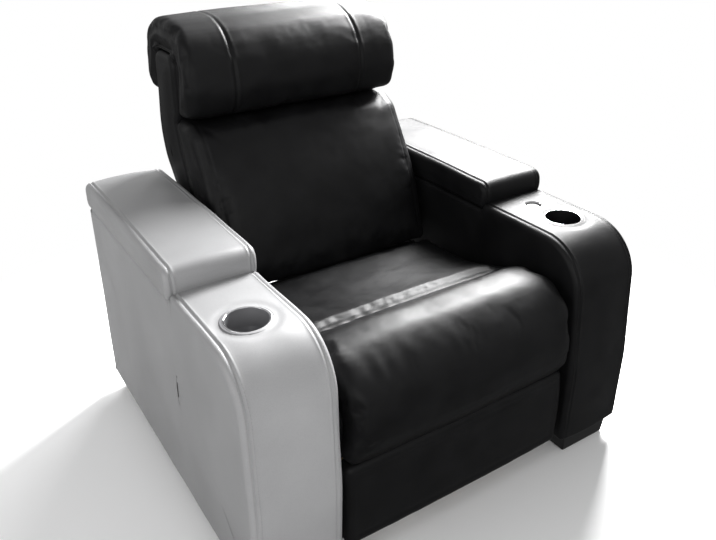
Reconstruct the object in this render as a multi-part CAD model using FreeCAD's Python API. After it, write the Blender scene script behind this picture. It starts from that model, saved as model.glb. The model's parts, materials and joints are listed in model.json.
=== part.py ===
import FreeCAD, Part
import math
import os

V = FreeCAD.Vector

# Power recliner seat for a cinema or home theatre, in millimetres.
# x runs across the seat (positive to the sitter's left), y from front to back, z up.
# The pieces are drawn with y = 0 at the front plane of the arms and are then moved, as
# they are written, so that the origin is the middle of the seat's footprint on the floor.

# Overall
seat_gap = 630.0            # clear width between the two arms
arm_width = 200.0
arm_depth = 922.0
arm_top = 575.0             # height of the front part of the arm
lid_step = 16.0             # from the arm's top down to the ledge that the lid closes on
lid_front = 333.0           # from the arm's front to the lid
lid_height = 68.0
lid_overhang = 4.0
foot_height = 51.0
seat_bulge = 17.0           # how far the seat roll stands in front of the arms
seat_crown = 490.0
back_rear = 997.0           # rearmost point of the head pillow
overall_height = 1024.0

# Arms
cover_wall = 16.0           # leather and foam over the arm's side boards
board = 15.0                # plywood
frame_front = 60.0          # from the arm's front to the plywood box
frame_rear = 12.0           # foam behind the plywood box
frame_cut = (45.0, 111.0)   # depth and height cut from the box's front top corner
deck_drop = 34.0            # foam and leather over the cup deck
arm_roll = 120.0            # radius of the rounded front top
arm_lip = 6.0               # the round top stands this far behind the front plane
arm_lean = 5.0              # degrees by which the front leans out below the round top
arm_edge = 12.0             # rounding of the arm's long edges
bin_width = 132.0
bin_front_margin = 35.0     # from the lid's front to the tray
bin_rear_margin = 42.0      # from the tray to the arm's rear
bin_depth = 168.0
bin_wall = 2.5
bin_draft = 6.0
bin_flange = 8.0
bin_corner = 14.0
bin_play = 0.5
foot_inset = 24.0
foot_length = 70.0
foot_setback = 10.0
foot_taper = 5.0
glide_thick = 3.0
glide_radius = 14.0
lid_gap = 0.4
lid_slit = 1.0              # between the arm's step and the lid's front
lid_edge = 12.0
lid_board_thick = 12.0
lid_board_inset = 22.0
hinge_length = 120.0
hinge_radius = 4.0
hinge_pin_radius = 1.75
leaf_thick = 1.4
leaf_width = 26.0
run_gap = 0.05              # radial clearance of a running pin

# Cup holders
cup_from_seat = 107.0       # from the arm's inner face to the cup's centre
cup_from_front = 162.0
cup_radius = 43.0           # clear opening
cup_rim_radius = 54.0
cup_wall = 1.6
cup_straight = 42.0
cup_depth = 72.0
cup_floor_radius = 34.0
cup_rim_thick = 3.0
cup_hole_slack = 1.0

# Seat control
control_from_front = 260.0
control_from_seat = 102.0
control_radius = 30.0
control_inner = 21.0
control_height = 4.0
control_body_radius = 20.4
control_body_depth = 24.0
control_wall = 2.0
button_radius = 17.2
button_thick = 7.0
button_travel = 1.5
button_gap = 1.6
button_stem_radius = 3.0
button_stem_offset = 9.0
button_rest_gap = 0.5

# Footrest linkage, drawn in the y-z plane
lift_pivot = (105.0, 258.0)
control_pivot = (159.2, 241.7)
board_pivot = (88.0, 165.0)
lift_length = 200.0
lift_rest_angle = -40.0
lift_tail = 30.0            # how far the lift link runs on past the carrier's pivot
carrier_tail = 60.0         # how far the carrier runs on past the lift link's pivot
ottoman_offset = 42.0       # from the board's pivot to the ottoman link's pivot
ottoman_angle = 302.0
link_thick = 5.0
link_gap = 1.0
link_half = 8.5
stud_radius = 4.0
control_open_slack = 3.0    # extra radius of the hole at the opened pivots
ottoman_open_slack = 4.6
open_eye = 13.0
tube_radius = 12.5          # torque tube across the two lift links
tube_wall = 2.0
side_plate_thick = 4.0
plate_head = 24.0           # radius of the side plate round the recline pivot
plate_hole = 14.0           # radius of the lightening holes
plate_flange = (20.0, 3.0)  # width and thickness of the flange under the seat frame
gear_width = 55.0
gear_radius = 30.0
gear_collar = 4.0           # wall of the gearmotor's arm round the front tube
worm_motor_offset = (52.0, -4.0)
worm_motor_radius = 24.0
worm_motor_length = 110.0
worm_neck_radius = 15.0

# Base frame
rail_size = 30.0
rail_low = 62.0
rail_front = 60.0
rail_rear_margin = 42.0
mid_tube_y = 430.0
rear_tube_inset = 40.0
front_tube = (205.0, 284.0)
front_tube_radius = 11.0
cross_tube_radius = 14.0
bolt_radius = 4.0
bolt_hole_slack = 0.2
bolt_head_radius = 7.5
bolt_head_thick = 5.3
nut_thick = 6.5
spacer_radius = 12.0
bolt_front_inset = 32.0     # behind the start of the tray
bolt_rear_inset = 80.0      # before the rails' rear end

# Seat
seat_play = 15.0            # between the seat cushion and each arm
seat_drawn = 217.0          # from the roll's underside to the crown, as its outline is drawn
roll_wrap = 27.0            # how far the roll's leather wraps below the seat frame
joint_gap = 0.5
seat_frame_front = 55.0
seat_frame_low = 300.0
seat_frame_high = 345.0
seat_rail_thick = 25.0
seat_frame_rear = 505.0
seat_frame_overlap = 6.0    # how far the frame reaches over the side plates
seat_frame_chamfer = 2.0
spring_wire = 4.0
spring_count = 6
spring_half = 22.0
spring_waves = 9
seat_joint = 200.0          # where the front roll meets the main cushion
seat_rear = 525.0
roll_edge = 22.0

# Footrest
pad_play = 12.0             # between the front panel and each arm
pad_front = 5.0
pad_thick = 40.0
pad_low = 62.0
pad_high = 268.0
pad_edge = 14.0
board_margin = 12.0
bracket_width = 30.0
bracket_sheet = 3.0
bracket_ends = (92.0, 232.0)
board_corner = 20.0

# Back
recline_pivot = (560.0, 372.0)
back_play = 12.0            # between the back and each arm
back_low = 402.0
back_drawn = 622.0          # from the back's foot to the top, as its outlines are drawn
back_neck = (797.0, 924.0)  # front and rear of the back's neck inside the pillow
gusset = 15.0
cover_play = 0.4
frame_play = 8.5            # foam between a gusset and its side panel
back_sheet = 10.0
back_panel_thick = 18.0
pillow_edge = 16.0
back_spring_count = 4
back_spring_step = 100.0
back_spring_rungs = 5
back_bracket_head = 20.0    # radius of the bracket round the recline pivot
back_bracket_hole = 5.0
back_rail_thick = 18.0

# Recline actuator
actuator_foot = (mid_tube_y, 107.0)
lug_offset = (80.0, -42.0)  # from the recline pivot to the rod's pin
rod_radius = 8.0
barrel_radius = 16.0
barrel_length = 175.0
motor_radius = 21.0
motor_length = 95.0
motor_offset = 42.0         # from the rod's line to the motor's
gear_case = (24.0, 60.0)    # start and end of the gear case along the rod's line
gear_case_offset = 20.0
gear_case_radius = 26.0
rod_start = 115.0           # the rod's inner end, inside the barrel at rest
actuator_eye = 13.0         # half width of the eyes
actuator_eye_radius = 11.0
rod_eye_radius = 14.0
actuator_pin = 5.0
actuator_open_slack = 2.9
ear_thick = 4.0
ear_gap = 0.3
ear_radius = 10.0
ear_foot = 12.0             # half width of an ear where it is welded on

# Power box
power_length = 90.0
power_width = 52.0
power_height = 34.0
power_front = 640.0
power_edge = 4.0
inlet_size = (20.0, 14.0)
inlet_depth = 12.0

half_gap = seat_gap / 2
lid_rest = arm_top - lid_step
deck_top = arm_top - deck_drop
bin_start = lid_front + bin_front_margin
bin_end = arm_depth - bin_rear_margin
rail_end = arm_depth - rail_rear_margin
rear_tube_y = rail_end - rear_tube_inset
bolt_rows = (bin_start + bolt_front_inset, rail_end - bolt_rear_inset)
cushion_half = half_gap - seat_play
pad_half = half_gap - pad_play
back_half = half_gap - back_play
side_plate_x = back_half - gusset - frame_play - back_panel_thick + link_gap / 2
seat_under = seat_frame_low - roll_wrap
arm_outer = half_gap + arm_width
arm_centre = half_gap + arm_width / 2
frame_in = half_gap + cover_wall
frame_out = arm_outer - cover_wall
arm_rear = arm_depth - frame_rear
lid_low = lid_rest + lid_gap
lid_top = lid_rest + lid_height
origin_y = (back_rear - seat_bulge) / 2

os.makedirs("parts", exist_ok=True)


def save(name, *solids):
    """Write one node, moved to the middle of the seat's footprint."""
    shape = solids[0] if len(solids) == 1 else Part.makeCompound(list(solids))
    shape = shape.copy()
    shape.translate(V(0, -origin_y, 0))
    shape.exportStep("parts/" + name + ".step")


def mirrored(shape):
    return shape.mirror(V(0, 0, 0), V(1, 0, 0))


def savePair(name, *solids):
    """Write the left node and its mirror image on the right."""
    save("left_" + name, *solids)
    save("right_" + name, *[mirrored(s) for s in solids])


def block(x, y, z):
    return Part.makeBox(x[1] - x[0], y[1] - y[0], z[1] - z[0], V(x[0], y[0], z[0]))


def rodX(x0, x1, yz, radius):
    return Part.makeCylinder(radius, x1 - x0, V(x0, yz[0], yz[1]), V(1, 0, 0))


def rodZ(x, y, z0, z1, radius):
    return Part.makeCylinder(radius, z1 - z0, V(x, y, z0), V(0, 0, 1))


def sidePoint(p):
    return V(0, p[0], p[1])


def line(a, b):
    return Part.LineSegment(sidePoint(a), sidePoint(b)).toShape()


def arc(a, middle, b):
    return Part.Arc(sidePoint(a), sidePoint(middle), sidePoint(b)).toShape()


def prismX(edges, x0, x1):
    """Extrude a closed outline of the y-z plane from x0 to x1."""
    face = Part.Face(Part.Wire(edges))
    face.translate(V(x0, 0, 0))
    return face.extrude(V(x1 - x0, 0, 0))


def polygonX(points, x0, x1):
    edges = [line(a, b) for a, b in zip(points, points[1:] + points[:1])]
    return prismX(edges, x0, x1)


def roundEnds(solid, radius, keep=lambda edge: True):
    """Round the edges of the two end faces that look along x."""
    box = solid.BoundBox
    ends = []
    for edge in solid.Edges:
        low, high = edge.BoundBox.XMin, edge.BoundBox.XMax
        if high - low < 0.01 and min(abs(low - box.XMin), abs(low - box.XMax)) < 0.01 and keep(edge):
            ends.append(edge)
    return solid.makeFillet(radius, ends)


def polar(start, length, angle):
    turn = math.radians(angle)
    return (start[0] + length * math.cos(turn), start[1] + length * math.sin(turn))


def distance(a, b):
    return math.hypot(b[0] - a[0], b[1] - a[1])


def direction(a, b):
    return math.degrees(math.atan2(b[1] - a[1], b[0] - a[0]))


def halfway(centre, a, b):
    """The direction from a centre that halves the turn between two points."""
    start = direction(centre, a)
    turn = (direction(centre, b) - start + 180) % 360 - 180
    return start + turn / 2


def outline(corners):
    """Closed outline of the y-z plane through corners (y, z, radius), each rounded by its arc."""
    stretches = []
    for before, here, after in zip(corners[-1:] + corners, corners, corners[1:] + corners[:1]):
        radius = here[2]
        if radius == 0:
            stretches.append([here[:2]])
            continue
        middle = halfway(here, before, after)
        half = math.radians(abs(middle - direction(here, before)))
        reach = radius / math.tan(half)
        start = polar(here, reach, direction(here, before))
        end = polar(here, reach, direction(here, after))
        stretches.append([start, polar(here, radius / math.sin(half) - radius, middle), end])
    edges = []
    for here, after in zip(stretches, stretches[1:] + stretches[:1]):
        if len(here) > 1:
            edges.append(arc(*here))
        edges.append(line(here[-1], after[0]))
    return edges


def slanted(edge):
    """True for an arc or a sloping line of a side outline."""
    return min(edge.BoundBox.YLength, edge.BoundBox.ZLength) > 0.05


def roundedRectangle(x, y, z, radius):
    """A wire with rounded corners in the plane at height z."""
    slab = block(x, y, (z, z + 1))
    slab = slab.makeFillet(radius, [e for e in slab.Edges if e.BoundBox.ZLength > 0.5])
    return min(slab.Faces, key=lambda f: f.CenterOfMass.z).OuterWire


# Arms

def boltHoles(shape):
    """Cut the holes of the bolts that hold the base rails to an arm."""
    rail_middle = rail_low + rail_size / 2
    for y in bolt_rows:
        reach = rodX(side_plate_x, frame_in + board + 1, (y, rail_middle), bolt_radius + bolt_hole_slack)
        shape = shape.cut(reach)
    return shape


def armOutline():
    """Side view of the upholstered arm: leaning front, round top and the lid's ledge."""
    rear_chamfer = 2 * hinge_radius
    centre = (arm_lip + arm_roll, arm_top - arm_roll)
    foot = (0, foot_height)
    join = polar(centre, arm_roll, 180 - arm_lean)
    # the swelling front is the arc through the foot that is tangent to the round top at join
    chord = distance(foot, join)
    swell = chord / (2 * math.sin(math.radians(direction(foot, join) - 90 + arm_lean)))
    swell_centre = polar(join, swell, -arm_lean)
    step = lid_front - lid_slit
    return [
        arc(foot, polar(swell_centre, swell, halfway(swell_centre, foot, join)), join),
        arc(join, polar(centre, arm_roll, 135), (centre[0], arm_top)),
        line((centre[0], arm_top), (step, arm_top)),
        line((step, arm_top), (step, lid_rest)),
        line((step, lid_rest), (arm_depth - rear_chamfer, lid_rest)),
        line((arm_depth - rear_chamfer, lid_rest), (arm_depth, lid_rest - rear_chamfer)),
        line((arm_depth, lid_rest - rear_chamfer), (arm_depth, foot_height)),
        line((arm_depth, foot_height), foot),
    ]


def frameOutline():
    """Side view of the plywood box inside the arm, its front top corner cut for the roll."""
    return [
        (frame_front, foot_height),
        (frame_front, deck_top - frame_cut[1]),
        (frame_front + frame_cut[0], deck_top),
        (arm_rear, deck_top),
        (arm_rear, foot_height),
    ]


def cupHole(x_centre, low, high, extra):
    return rodZ(x_centre, cup_from_front, low, high, cup_radius + cup_wall + extra)


def armCover(with_control):
    """Foam and leather over the arm in sewn panels, open below and over the storage tray."""
    body = prismX(armOutline(), half_gap, arm_outer)
    step = lid_front - lid_slit
    body = roundEnds(body, arm_edge, lambda e: e.BoundBox.YMin < step - 1 and e.BoundBox.YMax < step + 1
                     and e.BoundBox.ZMax > foot_height + 1)
    body = body.cut(polygonX(frameOutline(), frame_in, frame_out))
    mouth = (arm_centre - bin_width / 2, arm_centre + bin_width / 2)
    body = body.cut(block(mouth, (bin_start, bin_end), (deck_top - 1, lid_rest + 1)))
    seat_flange = block((mouth[0] - bin_flange, mouth[1] + bin_flange),
                        (bin_start - bin_flange, bin_end + bin_flange), (lid_rest - bin_wall, lid_rest + 1))
    body = body.cut(seat_flange)
    cup_x = half_gap + cup_from_seat
    body = body.cut(cupHole(cup_x, deck_top - 1, arm_top + 1, cup_hole_slack))
    if with_control:
        control_x = half_gap + control_from_seat
        body = body.cut(rodZ(control_x, control_from_front, deck_top - 1, arm_top + 1, control_body_radius))
    leaf = block((arm_centre - hinge_length / 2, arm_centre + hinge_length / 2),
                 (arm_depth - hinge_radius - leaf_width, arm_depth + 1), (lid_rest - leaf_thick, lid_rest + 1))
    body = body.cut(leaf)
    body = body.cut(rodX(arm_centre - hinge_length / 2, arm_centre + hinge_length / 2,
                         (arm_depth - hinge_radius, lid_rest + lid_gap / 2), hinge_radius + 0.5))
    body = boltHoles(body)
    # the panels: inner side, outer side, front, cup deck, tray surround and rear
    roll_end = frame_front + frame_cut[0]
    length = (-arm_roll, arm_depth + 1)
    band = (frame_in, frame_out)
    panels = []
    for x, y in (((half_gap - 1, frame_in), length), ((frame_out, arm_outer + 1), length),
                 (band, (-arm_roll, roll_end)), (band, (roll_end, step)), (band, (step, arm_rear)),
                 (band, (arm_rear, arm_depth + 1))):
        panels += body.common(block(x, y, (foot_height - 1, arm_top + 1))).Solids
    return panels


def armFrame(with_control):
    """Plywood box of separate boards: two sides, bottom, front, rear, divider and cup deck."""
    sides = []
    for x in (frame_in, frame_out - board):
        sides.append(boltHoles(polygonX(frameOutline(), x, x + board)))
    inner = (frame_in + board, frame_out - board)
    bottom = block(inner, (frame_front + board, arm_rear - board), (foot_height, foot_height + board))
    front = block(inner, (frame_front, frame_front + board), (foot_height, deck_top - frame_cut[1]))
    rear = block(inner, (arm_rear - board, arm_rear), (foot_height, deck_top))
    divider_y = bin_start - 2 * board
    divider = block(inner, (divider_y, divider_y + board), (foot_height + board, deck_top))
    deck = block(inner, (frame_front + frame_cut[0], divider_y), (deck_top - board, deck_top))
    cup_x = half_gap + cup_from_seat
    deck = deck.cut(cupHole(cup_x, deck_top - board - 1, deck_top + 1, cup_hole_slack))
    if with_control:
        control_x = half_gap + control_from_seat
        deck = deck.cut(rodZ(control_x, control_from_front, deck_top - board - 1, deck_top + 1,
                             control_body_radius))
    return sides + [bottom, front, rear, divider, deck]


def storageBin():
    """Moulded tray with drafted walls, hung by its flange in the top of the arm."""
    half = bin_width / 2
    low = lid_rest - bin_depth

    def tub(shrink, z_low, z_high):
        top = roundedRectangle((arm_centre - half + shrink, arm_centre + half - shrink),
                               (bin_start + shrink, bin_end - shrink), z_high, bin_corner)
        foot = shrink + bin_draft
        base = roundedRectangle((arm_centre - half + foot, arm_centre + half - foot),
                                (bin_start + foot, bin_end - foot), z_low, bin_corner)
        return Part.makeLoft([base, top], True)

    flange = block((arm_centre - half - bin_flange, arm_centre + half + bin_flange),
                   (bin_start - bin_flange, bin_end + bin_flange), (lid_rest - bin_wall, lid_rest))
    tray = flange.fuse(tub(bin_play, low, lid_rest - bin_wall))
    inside = tub(bin_play + bin_wall, low + bin_wall, lid_rest + 1)
    return tray.cut(inside)


def armFeet():
    """A front and a rear foot block under the arm, each tapered and on two glides."""
    solids = []
    x = (half_gap + foot_inset, arm_outer - foot_inset)
    fronts = (foot_setback, arm_depth - foot_setback - foot_length)
    for y in fronts:
        top = roundedRectangle(x, (y, y + foot_length), foot_height, 3)
        base = roundedRectangle((x[0] + foot_taper, x[1] - foot_taper),
                                (y + foot_taper, y + foot_length - foot_taper), glide_thick, 3)
        solids.append(Part.makeLoft([base, top], True))
        for gx in (x[0] + 32, x[1] - 32):
            solids.append(rodZ(gx, y + foot_length / 2, 0, glide_thick, glide_radius))
    return solids


def cupHolder():
    """Drawn cup with a flat rolled rim, a straight upper wall and a tapered lower wall."""
    x = half_gap + cup_from_seat
    top = arm_top + cup_rim_thick
    floor = top - cup_depth
    outer = [(0, floor - cup_wall), (cup_floor_radius + cup_wall, floor - cup_wall),
             (cup_radius + cup_wall, top - cup_straight), (cup_radius + cup_wall, arm_top),
             (cup_rim_radius, arm_top), (cup_rim_radius, arm_top + 1),
             (cup_rim_radius - 2, top), (cup_radius, top),
             (cup_radius, top - cup_straight), (cup_floor_radius, floor), (0, floor)]
    points = [V(x + r, cup_from_front, z) for r, z in outer]
    face = Part.Face(Part.makePolygon(points + points[:1]))
    return face.revolve(V(x, cup_from_front, 0), V(0, 0, 1), 360)


def lidPad():
    """Rounded upholstered top of the arm's lid, hollow below for its board."""
    front_low = (lid_front + 5, lid_low)
    front_top = (lid_front + 22, lid_top - 5)
    rear_top = (arm_depth - 14, lid_top - 4)
    rear_edge = (arm_depth, lid_top - 20)
    rear_low = (arm_depth, lid_low + 2 * hinge_radius)
    rear_foot = (arm_depth - 2 * hinge_radius, lid_low)
    middle = ((lid_front + arm_depth) / 2, lid_top)
    pad = prismX([
        arc(front_low, (lid_front, lid_low + lid_height * 0.5), front_top),
        arc(front_top, middle, rear_top),
        arc(rear_top, (arm_depth - 4, lid_top - 9), rear_edge),
        line(rear_edge, rear_low),
        line(rear_low, rear_foot),
        line(rear_foot, front_low),
    ], half_gap, arm_outer + lid_overhang)
    pad = roundEnds(pad, lid_edge, lambda e: e.BoundBox.ZMax > lid_low + lid_height / 2)
    pad = pad.cut(lidBoard())
    barrel = rodX(arm_centre - hinge_length / 2, arm_centre + hinge_length / 2,
                  (arm_depth - hinge_radius, lid_rest + lid_gap / 2), hinge_radius + 0.5)
    leaf = block((arm_centre - hinge_length / 2, arm_centre + hinge_length / 2),
                 (arm_depth - hinge_radius - leaf_width, arm_depth), (lid_low, lid_low + leaf_thick))
    return pad.cut(barrel).cut(leaf)


def lidBoard():
    thick = (lid_low, lid_low + lid_board_thick)
    leaf = block((arm_centre - hinge_length / 2, arm_centre + hinge_length / 2),
                 (arm_depth - hinge_radius - leaf_width, arm_depth), (lid_low, lid_low + leaf_thick))
    plate = block((half_gap + lid_board_inset, arm_outer - lid_board_inset),
                  (lid_front + 2 * lid_board_inset, arm_depth - lid_board_inset), thick)
    return plate.cut(leaf)


def hingeLeaf(upper):
    """One leaf of the lid's hinge, with every other knuckle of its barrel."""
    axis = (arm_depth - hinge_radius, lid_rest + lid_gap / 2)
    start = arm_centre - hinge_length / 2
    knuckles = 5
    pitch = hinge_length / knuckles
    z = (lid_low, lid_low + leaf_thick) if upper else (lid_rest - leaf_thick, lid_rest)
    leaf = block((start, start + hinge_length), (axis[0] - leaf_width, axis[0]), z)
    bore = hinge_pin_radius + (run_gap if upper else 0)
    first = 1 if upper else 0
    for index in range(knuckles):
        x0 = start + index * pitch
        if index % 2 == first:
            leaf = leaf.fuse(rodX(x0 + 0.2, x0 + pitch - 0.2, axis, hinge_radius))
        else:
            leaf = leaf.cut(rodX(x0, x0 + pitch, axis, hinge_radius + 0.2))
    return leaf.cut(rodX(start - 1, start + hinge_length + 1, axis, bore))


def hingePin():
    axis = (arm_depth - hinge_radius, lid_rest + lid_gap / 2)
    return rodX(arm_centre - hinge_length / 2 + 0.2, arm_centre + hinge_length / 2 - 0.2,
                axis, hinge_pin_radius)


def makeArms():
    for side in ("left", "right"):
        left = side == "left"
        turn = (lambda s: s) if left else mirrored
        save(side + "_arm_cover", *[turn(s) for s in armCover(left)])
        save(side + "_arm_frame", *[turn(s) for s in armFrame(left)])
    savePair("storage_bin", storageBin())
    savePair("arm_feet", *armFeet())
    savePair("cup_holder", cupHolder())
    savePair("lid_pad", lidPad())
    savePair("lid_board", lidBoard())
    savePair("lid_hinge_fixed", hingeLeaf(False), hingePin())
    savePair("lid_hinge_moving", hingeLeaf(True))


# Seat control in the left arm

def makeControl():
    x = half_gap + control_from_seat
    y = control_from_front
    profile = [(control_inner - 3, arm_top), (control_radius, arm_top), (control_radius - 0.6, arm_top + 1.6),
               (control_radius - 4, arm_top + control_height), (control_inner + 1, arm_top + control_height),
               (control_inner - 3, arm_top + 1.5)]
    points = [V(x + r, y, z) for r, z in profile]
    bezel = Part.Face(Part.makePolygon(points + points[:1])).revolve(V(x, y, 0), V(0, 0, 1), 360)
    save("control_bezel", bezel)

    floor = arm_top - control_body_depth
    housing = rodZ(x, y, floor, arm_top, control_body_radius)
    well_floor = arm_top - button_thick - button_travel - button_rest_gap - 1
    housing = housing.cut(rodZ(x, y, well_floor, arm_top + 1, control_body_radius - control_wall))
    buttons = {}
    for name, way in (("open_button", -1), ("close_button", 1)):
        stem_y = y + way * button_stem_offset
        housing = housing.cut(rodZ(x, stem_y, floor - 1, well_floor + 1, button_stem_radius + run_gap))
        low = well_floor + button_travel + button_rest_gap
        cap = rodZ(x, y, low, low + button_thick, button_radius)
        cap = cap.makeFillet(1.2, [e for e in cap.Edges if abs(e.BoundBox.ZMin - low - button_thick) < 0.01
                                   and e.BoundBox.ZLength < 0.01])
        away = (y - button_radius - 1, y + button_gap / 2) if way > 0 else (y - button_gap / 2, y + button_radius + 1)
        cap = cap.cut(block((x - button_radius - 1, x + button_radius + 1), away, (low - 1, low + button_thick + 1)))
        stem = rodZ(x, stem_y, floor + button_travel + 1, low + 1, button_stem_radius)
        buttons[name] = cap.fuse(stem)
    save("control_housing", housing)
    for name, shape in buttons.items():
        save(name, shape)


# Base frame between the arms

def makeBase():
    rail_x = (side_plate_x + side_plate_thick, side_plate_x + side_plate_thick + rail_size)
    rail_z = (rail_low, rail_low + rail_size)
    rail = block(rail_x, (rail_front, rail_end), rail_z)
    rail = rail.makeFillet(3, [e for e in rail.Edges if e.BoundBox.YLength > 100])
    rail = rail.cut(block((rail_x[0] + tube_wall, rail_x[1] - tube_wall), (rail_front - 1, rail_end + 1),
                          (rail_z[0] + tube_wall, rail_z[1] - tube_wall)))
    savePair("base_rail", boltHoles(rail))

    middle = rail_low + rail_size / 2
    for name, y in (("mid_cross_tube", mid_tube_y), ("rear_cross_tube", rear_tube_y)):
        tube = rodX(-rail_x[0], rail_x[0], (y, middle), cross_tube_radius)
        tube = tube.cut(rodX(-rail_x[0] - 1, rail_x[0] + 1, (y, middle), cross_tube_radius - tube_wall))
        if name == "mid_cross_tube":
            for x in (-actuator_eye - ear_gap - ear_thick, actuator_eye + ear_gap):
                weld = middle + cross_tube_radius / 2
                ear = polygonX([(y - ear_foot, weld), (y + ear_foot, weld), (y + ear_radius, actuator_foot[1]),
                                (y - ear_radius, actuator_foot[1])], x, x + ear_thick)
                ear = ear.fuse(rodX(x, x + ear_thick, actuator_foot, ear_radius))
                tube = tube.fuse(ear)
            pin_half = actuator_eye + ear_gap + ear_thick + 1
            tube = tube.fuse(rodX(-pin_half, pin_half, actuator_foot, actuator_pin))
        save(name, tube)

    across = rodX(-side_plate_x, side_plate_x, front_tube, front_tube_radius)
    across = across.cut(rodX(-side_plate_x - 1, side_plate_x + 1, front_tube, front_tube_radius - tube_wall))
    save("front_cross_tube", across)

    savePair("side_plate", sidePlate())
    bolts = armBolts()
    save("arm_bolts", *bolts, *[mirrored(b) for b in bolts])


def sidePlate():
    """Pressed steel plate that carries the seat, the recline pivot and the footrest links."""
    x0 = side_plate_x
    x1 = side_plate_x + side_plate_thick
    head = plate_head
    points = [(78, seat_frame_low), (78, 240), (112, rail_low), (172, rail_low), (200, 205), (250, 232),
              (430, 232), (470, rail_low), (560, rail_low), (recline_pivot[0] + head, 260),
              (recline_pivot[0] + head, recline_pivot[1]), (recline_pivot[0] - head, recline_pivot[1]),
              (seat_rear - 5, seat_frame_low)]
    plate = polygonX(points, x0, x1)
    plate = plate.fuse(rodX(x0, x1, recline_pivot, head))
    for hole in ((300, 266), (380, 266), (515, 150), (140, 130)):
        plate = plate.cut(rodX(x0 - 1, x1 + 1, hole, plate_hole))
    flange = block((x0 - plate_flange[0], x0), (82, seat_frame_rear),
                   (seat_frame_low - plate_flange[1], seat_frame_low))
    plate = plate.fuse(flange)
    for pivot in (lift_pivot, control_pivot, recline_pivot):
        plate = plate.fuse(rodX(x0 - link_gap / 2 - link_thick, x1, pivot, stud_radius))
    return plate


def armBolts():
    """Through bolts, spacers and nuts from one base rail into its arm."""
    x0 = side_plate_x + side_plate_thick
    middle = rail_low + rail_size / 2
    inner = frame_in + board
    solids = []
    for y in bolt_rows:
        head = hexagonX(x0 - bolt_head_thick, x0, (y, middle), bolt_head_radius)
        solids.append(head.fuse(rodX(x0 - 1, inner + nut_thick + 2, (y, middle), bolt_radius)))
        nut = hexagonX(inner, inner + nut_thick, (y, middle), bolt_head_radius)
        solids.append(nut.cut(rodX(inner - 1, inner + nut_thick + 1, (y, middle), bolt_radius)))
        spacer = rodX(x0 + rail_size, half_gap, (y, middle), spacer_radius)
        solids.append(spacer.cut(rodX(x0, half_gap + 1, (y, middle), bolt_radius + bolt_hole_slack)))
    return solids


def hexagonX(x0, x1, centre, radius):
    points = [polar(centre, radius, 60 * i) for i in range(6)]
    return polygonX(points, x0, x1)


# Footrest linkage

lift_end = polar(lift_pivot, lift_length, lift_rest_angle)
lift_tip = polar(lift_pivot, lift_length + lift_tail, lift_rest_angle)
carrier_angle = direction(lift_end, board_pivot)
carrier_end = polar(lift_end, -carrier_tail, carrier_angle)
ottoman_pin = polar(board_pivot, ottoman_offset, ottoman_angle)


def layer(index):
    """x range of one layer of links, counted inwards from the side plate."""
    outer = side_plate_x - link_gap / 2 - index * (link_thick + link_gap)
    return outer - link_thick, outer


def linkBar(a, b, index, end_radius=link_half):
    """A flat link from a to b with round ends; the end at b may be a larger eye."""
    x0, x1 = layer(index)
    angle = direction(a, b)
    side = (math.sin(math.radians(angle)) * link_half, -math.cos(math.radians(angle)) * link_half)
    corners = [(a[0] + side[0], a[1] + side[1]), (b[0] + side[0], b[1] + side[1]),
               (b[0] - side[0], b[1] - side[1]), (a[0] - side[0], a[1] - side[1])]
    bar = polygonX(corners, x0, x1)
    bar = bar.fuse(rodX(x0, x1, a, link_half))
    return bar.fuse(rodX(x0, x1, b, end_radius))


def bored(link, index, centre, radius):
    x0, x1 = layer(index)
    return link.cut(rodX(x0 - 0.1, x1 + 0.1, centre, radius))


def stud(outer_index, inner_index, centre):
    """A rivet that joins two layers, flush with the outside of both."""
    return rodX(layer(inner_index)[0], layer(outer_index)[1], centre, stud_radius)


def makeLinkage():
    running = stud_radius + run_gap
    lift = bored(linkBar(lift_pivot, lift_tip, 0), 0, lift_pivot, running)
    lift = lift.fuse(stud(0, 1, lift_end)).fuse(stud(0, 2, lift_tip))
    savePair("lift_link", lift)

    tube_end = layer(0)[0]
    tube = rodX(-tube_end, tube_end, lift_pivot, tube_radius)
    save("torque_tube", tube.cut(rodX(-tube_end - 1, tube_end + 1, lift_pivot, tube_radius - tube_wall)))

    control = linkBar(control_pivot, carrier_end, 0, open_eye)
    control = bored(control, 0, control_pivot, running)
    control = bored(control, 0, carrier_end, stud_radius + control_open_slack)
    savePair("control_link", control)

    carrier = linkBar(carrier_end, board_pivot, 1)
    carrier = bored(carrier, 1, lift_end, running)
    carrier = carrier.fuse(stud(0, 1, carrier_end))
    carrier = bored(carrier, 1, board_pivot, running)
    savePair("carrier_link", carrier)

    ottoman = linkBar(ottoman_pin, lift_tip, 2, open_eye)
    ottoman = bored(ottoman, 2, ottoman_pin, running)
    ottoman = bored(ottoman, 2, lift_tip, stud_radius + ottoman_open_slack)
    savePair("ottoman_link", ottoman)

    savePair("footrest_bracket", footrestBracket())
    save("footrest_gearmotor", gearmotor())


def footrestBracket():
    """Angle bracket on the back of the footrest board, with the studs of its two links."""
    x0, x1 = layer(3)
    back = pad_front + pad_thick + board
    web = polygonX([(back, 96), (back, 225), (back + 18, 222), (board_pivot[0] + 14, board_pivot[1] + 8),
                    (ottoman_pin[0] + 10, ottoman_pin[1] - 8), (ottoman_pin[0] - 6, ottoman_pin[1] - 12)], x0, x1)
    flange = block((x1 - bracket_width, x1), (back, back + bracket_sheet), bracket_ends)
    bracket = web.fuse(flange)
    bracket = bracket.fuse(stud(1, 3, board_pivot))
    return bracket.fuse(stud(2, 3, ottoman_pin))


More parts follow.
